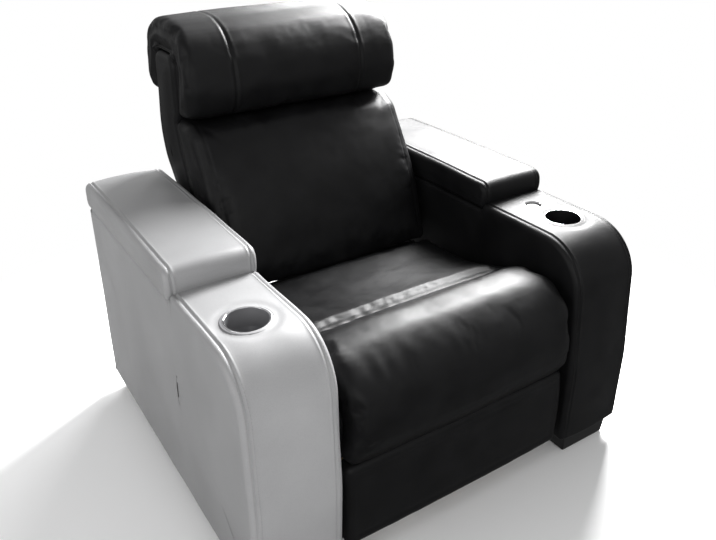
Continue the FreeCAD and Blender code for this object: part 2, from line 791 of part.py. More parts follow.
def gearmotor():
    """Worm gearmotor whose housing turns the torque tube and is held by the front tube."""
    y, z = lift_pivot
    half = gear_width / 2
    case = rodX(-half, half, lift_pivot, gear_radius)
    arm = polygonX([(y + 10, z - 18), (front_tube[0], front_tube[1] - 16),
                    (front_tube[0], front_tube[1] + 14), (y + 10, z + 28)], -half, half)
    case = case.fuse(arm).fuse(rodX(-half, half, front_tube, front_tube_radius + gear_collar))
    motor_line = (y + worm_motor_offset[0], z + worm_motor_offset[1])
    motor = rodX(half - 1, half + worm_motor_length, motor_line, worm_motor_radius)
    neck = rodX(half - 8, half + 12, motor_line, worm_neck_radius)
    case = case.fuse(neck).fuse(motor)
    case = case.cut(rodX(-gear_width, gear_width, lift_pivot, tube_radius + run_gap))
    return case.cut(rodX(-gear_width, gear_width, front_tube, front_tube_radius))


# Seat

def seatSpring(x_centre, front, rear, z):
    """Sinuous spring: a wave of flat wire from the front rail to the rear rail."""
    pitch = (rear - front) / spring_waves
    centre = []
    for i in range(spring_waves * 2 + 1):
        way = 1 if i % 2 else -1
        y = front + pitch * ((i + 1) // 2)
        centre.append((x_centre + (way if (i // 2) % 2 else -way) * spring_half, y))
    half = spring_wire / 2
    wire = None
    for a, b in zip(centre, centre[1:]):
        x = (min(a[0], b[0]) - half, max(a[0], b[0]) + half)
        y = (min(a[1], b[1]) - half, max(a[1], b[1]) + half)
        run = block(x, y, (z, z + spring_wire))
        wire = run if wire is None else wire.fuse(run)
    return wire.removeSplitter()


def seatFrame():
    """Hardwood frame of four rails that stands on the side plates."""
    z = (seat_frame_low, seat_frame_high)
    half = side_plate_x + seat_frame_overlap
    outer = block((-half, half), (seat_frame_front, seat_frame_rear), z)
    inside = block((-half + seat_rail_thick, half - seat_rail_thick),
                   (seat_frame_front + seat_rail_thick, seat_frame_rear - seat_rail_thick),
                   (z[0] - 1, z[1] + 1))
    frame = outer.cut(inside)
    return frame.makeChamfer(seat_frame_chamfer, [e for e in frame.Edges if e.BoundBox.ZMin > z[1] - 0.1])


def inSeat(corners):
    """Corners by their height above the roll's underside, stretched to the height of the crown."""
    stretch = (seat_crown - seat_under) / seat_drawn
    return [(y, seat_under + rise * stretch, radius) for y, rise, radius in corners]


def seatCushion():
    """Main cushion behind the cross seam, hollowed for the sitter and lowest at the back."""
    top = seat_frame_high + spring_wire
    corners = inSeat([(seat_joint, 189, 0), (seat_joint + 100, 155, 400), (416, 145, 600), (seat_rear, 141, 14)])
    corners += [(seat_rear, top, 0), (seat_joint, top, 0)]
    return prismX(outline(corners), -cushion_half, cushion_half)


def seatFrontRoll():
    """Front of the seat: a crowned roll that turns down over the front rail."""
    top = seat_frame_high + spring_wire
    joint = seat_joint - joint_gap
    corners = inSeat([(joint, 191, 0), (140, 216, 90), (60, 221, 66), (-2, 175, 60), (-seat_bulge - 1, 99, 90),
                      (-seat_bulge + 4, 33, 50), (10, 0, 0)])
    corners += [(seat_frame_front, seat_under, 0), (seat_frame_front, top, 0), (joint, top, 0)]
    return roundEnds(prismX(outline(corners), -cushion_half, cushion_half), roll_edge, slanted)


def makeSeat():
    save("seat_frame", seatFrame())
    z = seat_frame_high
    step = 2 * (side_plate_x - 30) / spring_count
    centres = [(-(spring_count - 1) / 2 + i) * step for i in range(spring_count)]
    springs = [seatSpring(x, seat_frame_front + 12, seat_frame_rear - 12, z) for x in centres]
    save("seat_springs", *springs)
    save("seat_cushion", seatCushion())
    save("seat_front_roll", seatFrontRoll())


def makeFootrest():
    """Padded front panel under the seat and the board that carries it."""
    pad = block((-pad_half, pad_half), (pad_front, pad_front + pad_thick), (pad_low, pad_high))
    front = [e for e in pad.Edges if e.BoundBox.YMax < pad_front + 1]
    save("footrest_pad", pad.makeFillet(pad_edge, front))
    back = pad_front + pad_thick
    plank = block((-pad_half + board_margin, pad_half - board_margin), (back, back + board),
                  (pad_low + board_margin, pad_high - board_margin))
    corners = [e for e in plank.Edges if e.BoundBox.YLength > board - 1]
    save("footrest_board", plank.makeFillet(board_corner, corners))


# Back

def inBack(points):
    """Outline points by their height above the back's foot, stretched to the overall height."""
    stretch = (overall_height - back_low) / back_drawn
    return [(point[0], back_low + point[1] * stretch, *point[2:]) for point in points]


def backCushion():
    """Front cushion of the back, from the seat to the crease under the head pillow."""
    corners = inBack([(538, 0, 0), (606, 223, 600), (690, 362, 60), (742, 385, 0), (812, 385, 0), (810, 368, 0),
                      (792, 315, 0), (640, 0, 0)])
    rear_foot, rear_head = corners[-1], corners[4]

    def inFront(edge):
        middle = edge.BoundBox.Center
        share = (middle.z - rear_foot[1]) / (rear_head[1] - rear_foot[1])
        return slanted(edge) and middle.y < rear_foot[0] + share * (rear_head[0] - rear_foot[0])

    return roundEnds(prismX(outline(corners), -back_half, back_half), pillow_edge, inFront)


def backCover():
    """Side gussets and outside back in one sewn cover, open at the front and below."""
    front, behind = back_neck
    outside = inBack([(640.5, 0, 0), (792.5, 315, 0), (810.5, 368, 0), (812.5, 386, 0), (front, 386, 0),
                      (front, 543, 0), (behind, 543, 0), (behind, 430, 0), (932, 422, 0), (939, 370, 150),
                      (936, 308, 120), (918, 254, 120), (876, 205, 120), (812, 144, 160), (752, 70, 120), (716, 0, 0)])
    shell = prismX(outline(outside), -back_half, back_half)
    neck = back_neck[0] + back_sheet
    rear = back_neck[1] - back_sheet
    inside = inBack([(630, -1), (786, 315), (806, 368), (neck, 388), (neck, 533), (rear, 533), (rear, 298), (900, 248),
                     (862, 207), (798, 145), (738, 70), (706, -1)])
    return shell.cut(polygonX(inside, -back_half + gusset, back_half - gusset))


def backFrame():
    """Two plywood side panels joined by a bottom, a middle and a top rail."""
    x1 = side_plate_x - link_gap / 2
    neck = back_neck[0] + back_sheet + cover_play
    rear = back_neck[1] - back_sheet - cover_play
    side = inBack([(640.4, 0), (792.4, 315), (810.4, 368), (812.4, 386.5), (neck, 389), (neck, 532.6),
                   (rear, 532.6), (rear, 298), (890, 248), (850, 203), (785, 143), (725, 68), (700, 0)])
    panel = polygonX(side, x1, x1 + back_panel_thick)
    for y, z, radius in inBack([(862, 438, 32), (855, 318, 34), (790, 198, 28)]):
        panel = panel.cut(rodX(x1 - 1, x1 + back_panel_thick + 1, (y, z), radius))
    bottom = block((-x1, x1), (665, 690), (back_low, spring_foot[1]))
    for bracket in (backBracket(), mirrored(backBracket())):
        bottom = bottom.cut(bracket)
    (rail_y, rail_bottom), (_, rail_top) = spring_head, inBack([(0, 298)])[0]
    middle = block((-x1, x1), (rail_y - 1, rail_y - 1 + back_rail_thick), (rail_bottom, rail_top))
    (top_y, top_bottom), (_, top_top) = inBack([(830, 510), (830, 528)])
    top = block((-x1, x1), (top_y, top_y + 50), (top_bottom, top_top))
    return [panel, mirrored(panel), bottom, middle, top]


spring_foot, spring_head = inBack([(668, 40), (791, 238)])


def backSprings():
    """Flat wire springs from the bottom rail to the middle rail, behind the back cushion."""
    foot, head = spring_foot, spring_head
    solids = []
    for i in range(back_spring_count):
        x = (i - (back_spring_count - 1) / 2) * back_spring_step
        wire = polygonX([foot, (foot[0] + spring_wire, foot[1]), (head[0] + spring_wire, head[1]), head],
                        x - spring_wire / 2, x + spring_wire / 2)
        for step in range(1, back_spring_rungs + 1):
            share = step / (back_spring_rungs + 1)
            y = foot[0] + (head[0] - foot[0]) * share
            z = foot[1] + (head[1] - foot[1]) * share
            wire = wire.fuse(block((x - spring_half, x + spring_half), (y, y + spring_wire), (z, z + spring_wire)))
        solids.append(wire)
    return solids


def headPillow():
    """Saddle-shaped pillow: a full front, a round top and a roll that hangs behind."""
    front, behind = back_neck[0], back_neck[1] + 1
    corners = inBack([(front, 389, 0), (front, 544, 0), (behind, 544, 0), (behind, 436, 0), (960, 420, 26),
                      (992, 450, 40),
                      (back_rear + 1, 518, 60), (985, 583, 60), (918, 623, 70), (815, 619, 90), (742, 583, 60),
                      (712, 523, 50), (704, 466, 40), (722, 406, 34)])
    return roundEnds(prismX(outline(corners), -back_half, back_half), pillow_edge, slanted)


def backBracket():
    """Steel bracket that turns on the recline pivot and is screwed inside the back frame."""
    x0, x1 = layer(0)
    head = back_bracket_head
    points = [(recline_pivot[0], recline_pivot[1] - head), (655, 372), (712, 425), (782, 560), (768, 590), (742, 590),
              (654, 412), (640, 396), (recline_pivot[0], recline_pivot[1] + head)]
    plate = polygonX(points, x0, x1).fuse(rodX(x0, x1, recline_pivot, head))
    for hole in ((700, 460), (745, 550)):
        plate = plate.cut(rodX(x0 - 1, x1 + 1, hole, back_bracket_hole))
    return plate.cut(rodX(x0 - 1, x1 + 1, recline_pivot, stud_radius + run_gap))


def makeBack():
    save("back_cushion", backCushion())
    save("back_cover", backCover())
    save("back_frame", *backFrame())
    save("back_springs", *backSprings())
    save("head_pillow", headPillow())
    savePair("back_bracket", backBracket())


# Recline actuator

lug = (recline_pivot[0] + lug_offset[0], recline_pivot[1] + lug_offset[1])


def alongActuator(start, end, offset, radius):
    """A round bar on the actuator's line, from start to end millimetres along it."""
    turn = math.radians(direction(actuator_foot, lug))
    side = (-math.sin(turn) * offset, math.cos(turn) * offset)
    a = polar(actuator_foot, start, math.degrees(turn))
    return Part.makeCylinder(radius, end - start, V(0, a[0] + side[0], a[1] + side[1]),
                             V(0, math.cos(turn), math.sin(turn)))


def makeActuator():
    """Linear actuator: an eyed gear housing with its motor beside it, and the rod that runs out of it."""
    neck = actuator_eye_radius + 3
    housing = rodX(-actuator_eye, actuator_eye, actuator_foot, actuator_eye_radius)
    housing = housing.fuse(alongActuator(0, neck + 1, 0, actuator_eye - 1))
    housing = housing.fuse(alongActuator(neck, barrel_length, 0, barrel_radius))
    housing = housing.fuse(alongActuator(*gear_case, gear_case_offset, gear_case_radius))
    housing = housing.fuse(alongActuator(gear_case[1], gear_case[1] + motor_length, motor_offset, motor_radius))
    housing = housing.cut(rodX(-actuator_eye - 1, actuator_eye + 1, actuator_foot, actuator_pin + run_gap))
    housing = housing.cut(alongActuator(gear_case[1] + 2, barrel_length + 1, 0, rod_radius + run_gap))
    save("recline_actuator", housing)

    reach = distance(actuator_foot, lug)
    rod = alongActuator(rod_start, reach, 0, rod_radius)
    rod = rod.fuse(rodX(-actuator_eye, actuator_eye, lug, rod_eye_radius))
    rod = rod.cut(rodX(-actuator_eye - 1, actuator_eye + 1, lug, actuator_pin + actuator_open_slack))
    save("recline_rod", rod)

    lug_plates = None
    for x in (-actuator_eye - ear_gap - ear_thick, actuator_eye + ear_gap):
        ear = polygonX([(665, back_low), (690, back_low), (lug[0] + 9, lug[1] - 4), (lug[0] - 9, lug[1] + 4)],
                       x, x + ear_thick)
        ear = ear.fuse(rodX(x, x + ear_thick, lug, ear_radius))
        lug_plates = ear if lug_plates is None else lug_plates.fuse(ear)
    pin_half = actuator_eye + ear_gap + ear_thick
    lug_plates = lug_plates.fuse(rodX(-pin_half, pin_half, lug, actuator_pin))
    save("recline_lug", lug_plates)


def makePowerBox():
    """Supply box on the left rail, with the inlet for the mains lead in its rear wall."""
    x = (side_plate_x + side_plate_thick - power_width, side_plate_x + side_plate_thick)
    y = (power_front, power_front + power_length)
    z = (rail_low - 2, rail_low - 2 + power_height)
    box = block(x, y, z)
    box = box.makeFillet(power_edge, [e for e in box.Edges if e.BoundBox.YLength > power_length - 1])
    across, up = (x[0] + x[1]) / 2, (z[0] + z[1]) / 2
    inlet = block((across - inlet_size[0] / 2, across + inlet_size[0] / 2), (y[1] - inlet_depth, y[1] + 1),
                  (up - inlet_size[1] / 2, up + inlet_size[1] / 2))
    box = box.cut(inlet)
    save("power_box", box)


makeArms()
makeControl()
makeBase()
makeLinkage()
makeSeat()
makeFootrest()
makeBack()
makeActuator()
makePowerBox()
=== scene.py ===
import json
import math
import bmesh
import bpy
import numpy as np
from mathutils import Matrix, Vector


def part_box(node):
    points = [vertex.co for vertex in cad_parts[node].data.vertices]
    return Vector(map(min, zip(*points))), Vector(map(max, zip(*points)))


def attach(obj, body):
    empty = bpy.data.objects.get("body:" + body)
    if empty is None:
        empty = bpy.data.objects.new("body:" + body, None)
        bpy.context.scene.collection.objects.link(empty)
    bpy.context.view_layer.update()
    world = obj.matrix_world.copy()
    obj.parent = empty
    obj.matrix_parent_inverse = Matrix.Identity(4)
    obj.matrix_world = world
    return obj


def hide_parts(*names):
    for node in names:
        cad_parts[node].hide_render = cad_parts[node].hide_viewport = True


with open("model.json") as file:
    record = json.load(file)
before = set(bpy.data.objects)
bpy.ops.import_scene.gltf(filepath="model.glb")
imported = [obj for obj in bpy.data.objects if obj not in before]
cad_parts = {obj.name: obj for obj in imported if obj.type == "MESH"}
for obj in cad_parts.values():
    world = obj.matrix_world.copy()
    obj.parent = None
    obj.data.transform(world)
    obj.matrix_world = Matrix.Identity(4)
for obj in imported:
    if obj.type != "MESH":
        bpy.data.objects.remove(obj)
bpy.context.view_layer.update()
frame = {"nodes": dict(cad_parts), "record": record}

mm = 0.001
# y of the arms' front plane: the feet stand 10 mm behind it
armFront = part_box("left_arm_feet")[0].y - 10 * mm


# Materials

def linear(hexColour):
    # An sRGB hex colour as the linear values that the shaders use.
    values = [int(hexColour[i:i + 2], 16) / 255 for i in (1, 3, 5)]
    return tuple(v / 12.92 if v <= 0.04045 else ((v + 0.055) / 1.055) ** 2.4 for v in values) + (1.0,)


def addNode(tree, kind, settings=None, links=None):
    # settings are properties, or input values by their name or number; links join inputs to other sockets
    node = tree.nodes.new(kind)
    for key, value in (settings or {}).items():
        if isinstance(key, int) or key in node.inputs.keys():
            node.inputs[key].default_value = value
        else:
            setattr(node, key, value)
    for key, socket in (links or {}).items():
        tree.links.new(socket, node.inputs[key])
    return node.outputs


def newMaterial(name):
    material = bpy.data.materials.new(name)
    material.use_nodes = True
    tree = material.node_tree
    shader = next(n for n in tree.nodes if n.type == "BSDF_PRINCIPLED")
    place = addNode(tree, "ShaderNodeTexCoord")["Object"]
    return material, tree, shader, place


def leather(name, look):
    # Corrected-grain cow leather, embossed in a press and sprayed with polyurethane: even pebbles between
    # fine creases, a soft gloss that is duller where the finish is thin, hardly any change of colour
    material, tree, shader, place = newMaterial(name)
    pebbles = addNode(tree, "ShaderNodeTexVoronoi",
                      {"feature": "DISTANCE_TO_EDGE", "Scale": 1 / (look["pebble"] * mm)},
                      {"Vector": place})["Distance"]
    pores = addNode(tree, "ShaderNodeTexNoise", {"Scale": 1 / (look["pore"] * mm), "Detail": 2.0},
                    {"Vector": place})["Fac"]
    tone = addNode(tree, "ShaderNodeTexNoise", {"Scale": 1 / (look["cloud"] * mm), "Detail": 3.0},
                   {"Vector": place})["Fac"]
    crease = addNode(tree, "ShaderNodeMapRange", {"From Max": 0.2}, {"Value": pebbles})["Result"]
    height = addNode(tree, "ShaderNodeMath", {"operation": "MULTIPLY_ADD", 1: 0.7},
                     {0: crease, 2: pores})["Value"]
    bump = addNode(tree, "ShaderNodeBump", {"Strength": look["relief"], "Distance": look["depth"] * mm},
                   {"Height": height})["Normal"]
    share = addNode(tree, "ShaderNodeMapRange", {"From Min": 0.32, "From Max": 0.7},
                    {"Value": tone})["Result"]
    dye = addNode(tree, "ShaderNodeMix",
                  {"data_type": "RGBA", 6: linear(look["dark"]), 7: linear(look["light"])},
                  {0: share})[2]
    # painted shade: the colour is darkened in the fine creases between the pebbles, where shade falls
    shade = addNode(tree, "ShaderNodeMapRange", {"To Min": look["paintedCreaseShade"], "To Max": 1.0},
                    {"Value": crease})["Result"]
    colour = addNode(tree, "ShaderNodeMix", {"data_type": "RGBA", "blend_type": "MULTIPLY", 0: 1.0},
                     {6: dye, 7: shade})[2]
    rough = addNode(tree, "ShaderNodeMapRange",
                    {"From Min": 0.3, "From Max": 0.7, "To Min": look["rough"] - 0.04,
                                                 "To Max": look["rough"] + 0.06}, {"Value": tone})["Result"]
    tree.links.new(colour, shader.inputs["Base Color"])
    tree.links.new(rough, shader.inputs["Roughness"])
    tree.links.new(bump, shader.inputs["Normal"])
    shader.inputs["IOR"].default_value = look["ior"]
    return material


def mouldedPlastic(name, look):
    # Injection-moulded ABS from a spark-eroded tool, or drawn thread: fine grit that breaks up the gloss
    material, tree, shader, place = newMaterial(name)
    grit = addNode(tree, "ShaderNodeTexNoise", {"Scale": 1 / (look["grain"] * mm), "Detail": 2.0},
                   {"Vector": place})["Fac"]
    tone = addNode(tree, "ShaderNodeTexNoise", {"Scale": 25.0, "Detail": 2.0}, {"Vector": place})["Fac"]
    bump = addNode(tree, "ShaderNodeBump", {"Strength": look["relief"], "Distance": 0.1 * mm},
                   {"Height": grit})["Normal"]
    colour = addNode(tree, "ShaderNodeMix",
                     {"data_type": "RGBA", 6: linear(look["dark"]), 7: linear(look["light"])},
                     {0: tone})[2]
    rough = addNode(tree, "ShaderNodeMapRange",
                    {"To Min": look["rough"] - 0.04, "To Max": look["rough"] + 0.05},
                    {"Value": tone})["Result"]
    tree.links.new(colour, shader.inputs["Base Color"])
    tree.links.new(rough, shader.inputs["Roughness"])
    tree.links.new(bump, shader.inputs["Normal"])
    shader.inputs["IOR"].default_value = look.get("ior", 1.45)
    return material


def coatedMetal(name, look):
    # Plated or powder-coated steel and brass: the coat's orange peel, or the plating's slight dullness
    material, tree, shader, place = newMaterial(name)
    peel = addNode(tree, "ShaderNodeTexNoise", {"Scale": 1 / (look["grain"] * mm), "Detail": 3.0},
                   {"Vector": place})["Fac"]
    tone = addNode(tree, "ShaderNodeTexNoise", {"Scale": 18.0, "Detail": 4.0}, {"Vector": place})["Fac"]
    bump = addNode(tree, "ShaderNodeBump", {"Strength": look["relief"], "Distance": 0.1 * mm},
                   {"Height": peel})["Normal"]
    colour = addNode(tree, "ShaderNodeMix",
                     {"data_type": "RGBA", 6: linear(look["dark"]), 7: linear(look["light"])},
                     {0: tone})[2]
    rough = addNode(tree, "ShaderNodeMapRange",
                    {"To Min": look["rough"] - 0.05, "To Max": look["rough"] + 0.08},
                    {"Value": tone})["Result"]
    tree.links.new(colour, shader.inputs["Base Color"])
    tree.links.new(rough, shader.inputs["Roughness"])
    tree.links.new(bump, shader.inputs["Normal"])
    shader.inputs["Metallic"].default_value = look["metallic"]
    return material


def sawnWood(name, look):
    # Peeled birch ply or planed beech, left bare: long grain lines along y with darker veins, no gloss
    material, tree, shader, place = newMaterial(name)
    stretch = addNode(tree, "ShaderNodeMapping", {"Scale": (60.0, 5.0, 60.0)}, {"Vector": place})["Vector"]
    grain = addNode(tree, "ShaderNodeTexNoise", {"Scale": 4.0, "Detail": 5.0, "Distortion": 0.6},
                    {"Vector": stretch})["Fac"]
    share = addNode(tree, "ShaderNodeMapRange", {"From Min": 0.35, "From Max": 0.65},
                    {"Value": grain})["Result"]
    colour = addNode(tree, "ShaderNodeMix",
                     {"data_type": "RGBA", 6: linear(look["dark"]), 7: linear(look["light"])},
                     {0: share})[2]
    bump = addNode(tree, "ShaderNodeBump", {"Strength": 0.25, "Distance": 0.3 * mm},
                   {"Height": grain})["Normal"]
    tree.links.new(colour, shader.inputs["Base Color"])
    tree.links.new(bump, shader.inputs["Normal"])
    shader.inputs["Roughness"].default_value = 0.62
    return material


# the pebbles are 1.7 mm where the real ones are nearer 1 mm, so that they show in the render
blackLeatherLook = {"dark": "#0e0e0f", "light": "#151516", "pebble": 1.7, "pore": 0.6, "cloud": 70,
                    "relief": 0.35,
                    "depth": 0.22, "paintedCreaseShade": 0.7, "rough": 0.45, "ior": 1.23}
greyLeatherLook = {"dark": "#919192", "light": "#989899", "pebble": 1.7, "pore": 0.6, "cloud": 160,
                   "relief": 0.28,
                   "depth": 0.2, "paintedCreaseShade": 0.88, "rough": 0.40, "ior": 1.42}
blackLeather = leather("black_corrected_leather", blackLeatherLook)
greyLeather = leather("grey_corrected_leather", greyLeatherLook)
threadLook = {"dark": "#0d0d0d", "light": "#191919", "grain": 0.3, "relief": 0.5, "rough": 0.55, "ior": 1.35}
blackThread = mouldedPlastic("black_bonded_nylon_thread", threadLook)
greyThread = mouldedPlastic("grey_bonded_nylon_thread", {**threadLook, "dark": "#7c7c7d", "light": "#8c8c8d"})
blackPlastic = mouldedPlastic("black_moulded_abs",
                              {"dark": "#0d0d0e", "light": "#151516", "grain": 0.5, "relief": 0.3,
                                                    "rough": 0.36, "ior": 1.35})
greyPlastic = mouldedPlastic("grey_moulded_abs",
                             {"dark": "#6a6a6c", "light": "#757577", "grain": 0.5, "relief": 0.12,
                                                  "rough": 0.24})
chromePlate = coatedMetal("chrome_plated_brass",
                          {"dark": "#c9c9cc", "light": "#dededf", "grain": 2.0, "relief": 0.02,
                                                  "rough": 0.1, "metallic": 1.0})
powderCoat = coatedMetal("black_powder_coated_steel", {"dark": "#131314", "light": "#1c1c1d", "grain": 0.8,
                                                       "relief": 0.3, "rough": 0.45, "metallic": 0.0})
zincPlate = coatedMetal("zinc_plated_steel",
                        {"dark": "#9a9a96", "light": "#b9b9b4", "grain": 1.5, "relief": 0.12,
                                              "rough": 0.38, "metallic": 1.0})
springWire = coatedMetal("oiled_spring_wire",
                         {"dark": "#4b4a48", "light": "#6b6a67", "grain": 1.0, "relief": 0.1,
                                               "rough": 0.35, "metallic": 1.0})
birchPly = sawnWood("birch_plywood", {"dark": "#b08a5c", "light": "#cfae80"})
beech = sawnWood("planed_beech", {"dark": "#9c6f45", "light": "#c19469"})
print("materials ready")

slotFinish = {"black_leather": blackLeather, "grey_leather": greyLeather, "plywood": birchPly,
              "hardwood": beech,
              "black_plastic": blackPlastic, "grey_plastic": greyPlastic, "chrome": chromePlate,
              "black_steel": powderCoat, "zinc_steel": zincPlate, "spring_steel": springWire}
for entry in frame["record"]["subparts"]:
    cadPiece = frame["nodes"][entry["node"]]
    for index in range(len(cadPiece.material_slots)):
        cadPiece.material_slots[index].material = slotFinish[entry["material_slot"]]
    if not cadPiece.material_slots:
        cadPiece.data.materials.append(slotFinish[entry["material_slot"]])


# Shapes

def roundedOutline(corners, step):
    # Closed outline with a round arc at each corner, sampled about every step mm.
    # corners are (y, z, radius) in mm, given anticlockwise as seen from +x; each arc is tangent to
    # the two sides that meet there.
    pts = np.array([c[:2] for c in corners], float)
    radii = [c[2] for c in corners]
    count = len(pts)
    loop = []
    for i in range(count):
        before, here, after = pts[i - 1], pts[i], pts[(i + 1) % count]
        a = (before - here) / np.linalg.norm(before - here)
        b = (after - here) / np.linalg.norm(after - here)
        half = math.acos(np.clip(a @ b, -1, 1)) / 2
        reach = radii[i] / math.tan(half)
        centre = here + (a + b) / np.linalg.norm(a + b) * radii[i] / math.sin(half)
        start, end = here + a * reach, here + b * reach
        turn = math.pi - 2 * half
        pieces = max(2, int(math.ceil(radii[i] * turn / step)), 4)
        u, v = start - centre, end - centre
        for s in np.linspace(0, 1, pieces + 1):
            w = (math.sin((1 - s) * turn) * u + math.sin(s * turn) * v) / math.sin(turn)
            loop.append(centre + w)
    loop = np.array(loop)
    closed = np.vstack([loop, loop[:1]])
    length = np.concatenate([[0], np.cumsum(np.linalg.norm(np.diff(closed, axis=0), axis=1))])
    keep = [loop[0]]
    for k in range(len(loop)):
        gap = length[k + 1] - length[k]
        extra = int(gap // step)
        for e in range(1, extra + 1):
            keep.append(closed[k] + (closed[k + 1] - closed[k]) * e / (extra + 1))
        keep.append(closed[k + 1])
    keep = np.array(keep[:-1])
    far = np.linalg.norm(keep - np.roll(keep, 1, axis=0), axis=1) > 0.05
    return keep[far]


def outwardNormals(loop):
    # Unit normals of a closed outline, pointing out of it.
    along = np.roll(loop, -1, axis=0) - np.roll(loop, 1, axis=0)
    along /= np.linalg.norm(along, axis=1)[:, None]
    normal = np.column_stack([along[:, 1], -along[:, 0]])
    area = np.sum(loop[:, 0] * np.roll(loop[:, 1], -1) - np.roll(loop[:, 0], -1) * loop[:, 1])
    return normal if area > 0 else -normal


def nearestStop(points, path, pitch=14.0):
    # the nearest of a path's evenly spaced stops to each point, so that both sides of an end face share them
    stops = [path[0]]
    for a, b in zip(path[:-1], path[1:]):
        count = max(1, int(round(np.linalg.norm(b - a) / pitch)))
        stops += [a + (b - a) * (k + 1) / count for k in range(count)]
    stops = np.array(stops)
    return stops[np.argmin(np.linalg.norm(points[:, None, :] - stops[None], axis=2), axis=1)]


def paddedPrism(outline, left, right, look):
    # A padded box: the outline carried along x, rounded at both ends and crowned between them.
    # Ring by ring: on an end face the outline grows out of a spine line (k from 0 to 1) and the face
    # swells by puff*(1-k^2)^2; then the edge turns through a quarter ellipse; then the band crosses
    # with its crown, a parabola in x. Returns the grid of points, ring by ring, in mm.
    loop = np.asarray(outline, float)
    normal = outwardNormals(loop)
    edge, crown, puff = look["edge"], look["crown"], look.get("puff", 0)
    spine = np.asarray(look["spine"], float)
    inner = loop - normal * edge
    core = nearestStop(inner, spine)
    sideSteps = look.get("sideSteps", 14)
    rings = []
    for k in np.linspace(0, 1, sideSteps)[:-1]:
        rings.append((core + (inner - core) * k, left - puff * (1 - k * k) ** 2))
    for turn in np.linspace(0, math.pi / 2, look.get("edgeSteps", 7)):
        rings.append((inner + normal * edge * math.sin(turn), left + edge * (1 - math.cos(turn))))
    middle, half = (left + right) / 2, (right - left) / 2
    for x in look["across"]:
        if left + edge < x < right - edge:
            lift = crown * (1 - ((x - middle) / (half - edge)) ** 2)
            rings.append((loop + normal * lift, x))
    for turn in np.linspace(math.pi / 2, 0, look.get("edgeSteps", 7)):
        rings.append((inner + normal * edge * math.sin(turn), right - edge * (1 - math.cos(turn))))
    for k in np.linspace(1, 0, sideSteps)[1:]:
        rings.append((core + (inner - core) * k, right + puff * (1 - k * k) ** 2))
    grid = np.array([np.column_stack([np.full(len(loop), x), r]) for r, x in rings])
    return grid


def gridFaces(rows, columns):
    # Quads of a grid that closes on itself along its columns.
    i, j = np.meshgrid(np.arange(rows - 1), np.arange(columns), indexing="ij")
    k = (j + 1) % columns
    return np.stack([i * columns + j, (i + 1) * columns + j, (i + 1) * columns + k, i * columns + k],
                    axis=-1).reshape(-1, 4)


def meshFrom(name, vertices, faces, material, smooth=True):
    mesh = bpy.data.meshes.new(name)
    mesh.from_pydata(vertices.tolist(), [], faces)
    mesh.update()
    piece = bpy.data.objects.new(name, mesh)
    bpy.context.scene.collection.objects.link(piece)
    if material:
        mesh.materials.append(material)
    if smooth:
        mesh.polygons.foreach_set("use_smooth", np.ones(len(mesh.polygons), bool))
    return piece


def closedPiece(name, grid, material, doubles=0.0004):
    # Puts a grid of rings, in mm behind the arms' front, into a mesh with its collapsed ends merged.
    points = inFrame(grid.reshape(-1, 3))
    piece = meshFrom(name, points, gridFaces(grid.shape[0], grid.shape[1]).tolist(), material)
    form = bmesh.new()
    form.from_mesh(piece.data)
    bmesh.ops.remove_doubles(form, verts=form.verts, dist=doubles)
    bmesh.ops.dissolve_degenerate(form, edges=form.edges, dist=1e-6)
    bmesh.ops.recalc_face_normals(form, faces=form.faces)
    form.to_mesh(piece.data)
    form.free()
    return piece


def coordinates(piece):
    values = np.empty(len(piece.data.vertices) * 3)
    piece.data.vertices.foreach_get("co", values)
    return values.reshape(-1, 3)


def vertexNormals(piece):
    values = np.empty(len(piece.data.vertices) * 3, np.float32)
    piece.data.vertices.foreach_get("normal", values)
    return values.reshape(-1, 3).astype(float)


def setCoordinates(piece, values):
    piece.data.vertices.foreach_set("co", values.reshape(-1))
    piece.data.update()


def sideView(points):
    # mm coordinates (x, y behind the arms' front, z) of points in metres.
    out = points / mm
    out[:, 1] -= armFront / mm
    return out


def inFrame(points):
    # points in metres of mm coordinates (x, y behind the arms' front, z)
    out = points * mm
    out[..., 1] += armFront
    return out


def valueNoise(points, cell, seed):
    # Smooth noise of about -1..1: random values on a lattice, blended by cubic weights.
    q = points / cell
    base = np.floor(q).astype(np.int64)
    f = q - base
    f = f * f * (3 - 2 * f)
    total = np.zeros(len(points))
    for dx in (0, 1):
        for dy in (0, 1):
            for dz in (0, 1):
                h = ((base[:, 0] + dx) * 374761393 + (base[:, 1] + dy) * 668265263
                     + (base[:, 2] + dz) * 2147483647)
                h = (h + seed * 1274126177) & 0xFFFFFFFF
                h = ((h ^ (h >> 13)) * 1103515245 + 12345) & 0x7FFFFFFF
                value = (h % 20011) / 10005.5 - 1
                weight = (f[:, 0] if dx else 1 - f[:, 0]) * (f[:, 1] if dy else 1 - f[:, 1])
                total += value * weight * (f[:, 2] if dz else 1 - f[:, 2])
    return total


def bell(distance, width):
    return np.exp(-(distance / width) ** 2)


def modify(piece, modifier):
    # Applies a piece's modifier and keeps the mesh.
    bpy.context.view_layer.update()
    done = bpy.data.meshes.new_from_object(piece.evaluated_get(bpy.context.evaluated_depsgraph_get()))
    piece.modifiers.remove(modifier)
    old = piece.data
    name = old.name
    piece.data = done
    bpy.data.meshes.remove(old)
    piece.data.name = name
    return piece


def subdivide(piece, levels=1):
    modifier = piece.modifiers.new("smooth", "SUBSURF")
    modifier.levels = levels
    modifier.render_levels = levels
    modify(piece, modifier)
    piece.data.polygons.foreach_set("use_smooth", np.ones(len(piece.data.polygons), bool))
    return piece


def cutWith(piece, cutter):
    # Takes the cutter's shape out of a piece and deletes the cutter.
    modifier = piece.modifiers.new("cut", "BOOLEAN")
    modifier.operation = "DIFFERENCE"
    modifier.solver = "EXACT"
    modifier.object = cutter
    modify(piece, modifier)
    bpy.data.objects.remove(cutter)
    piece.data.set_sharp_from_angle(angle=math.radians(38))
    return piece


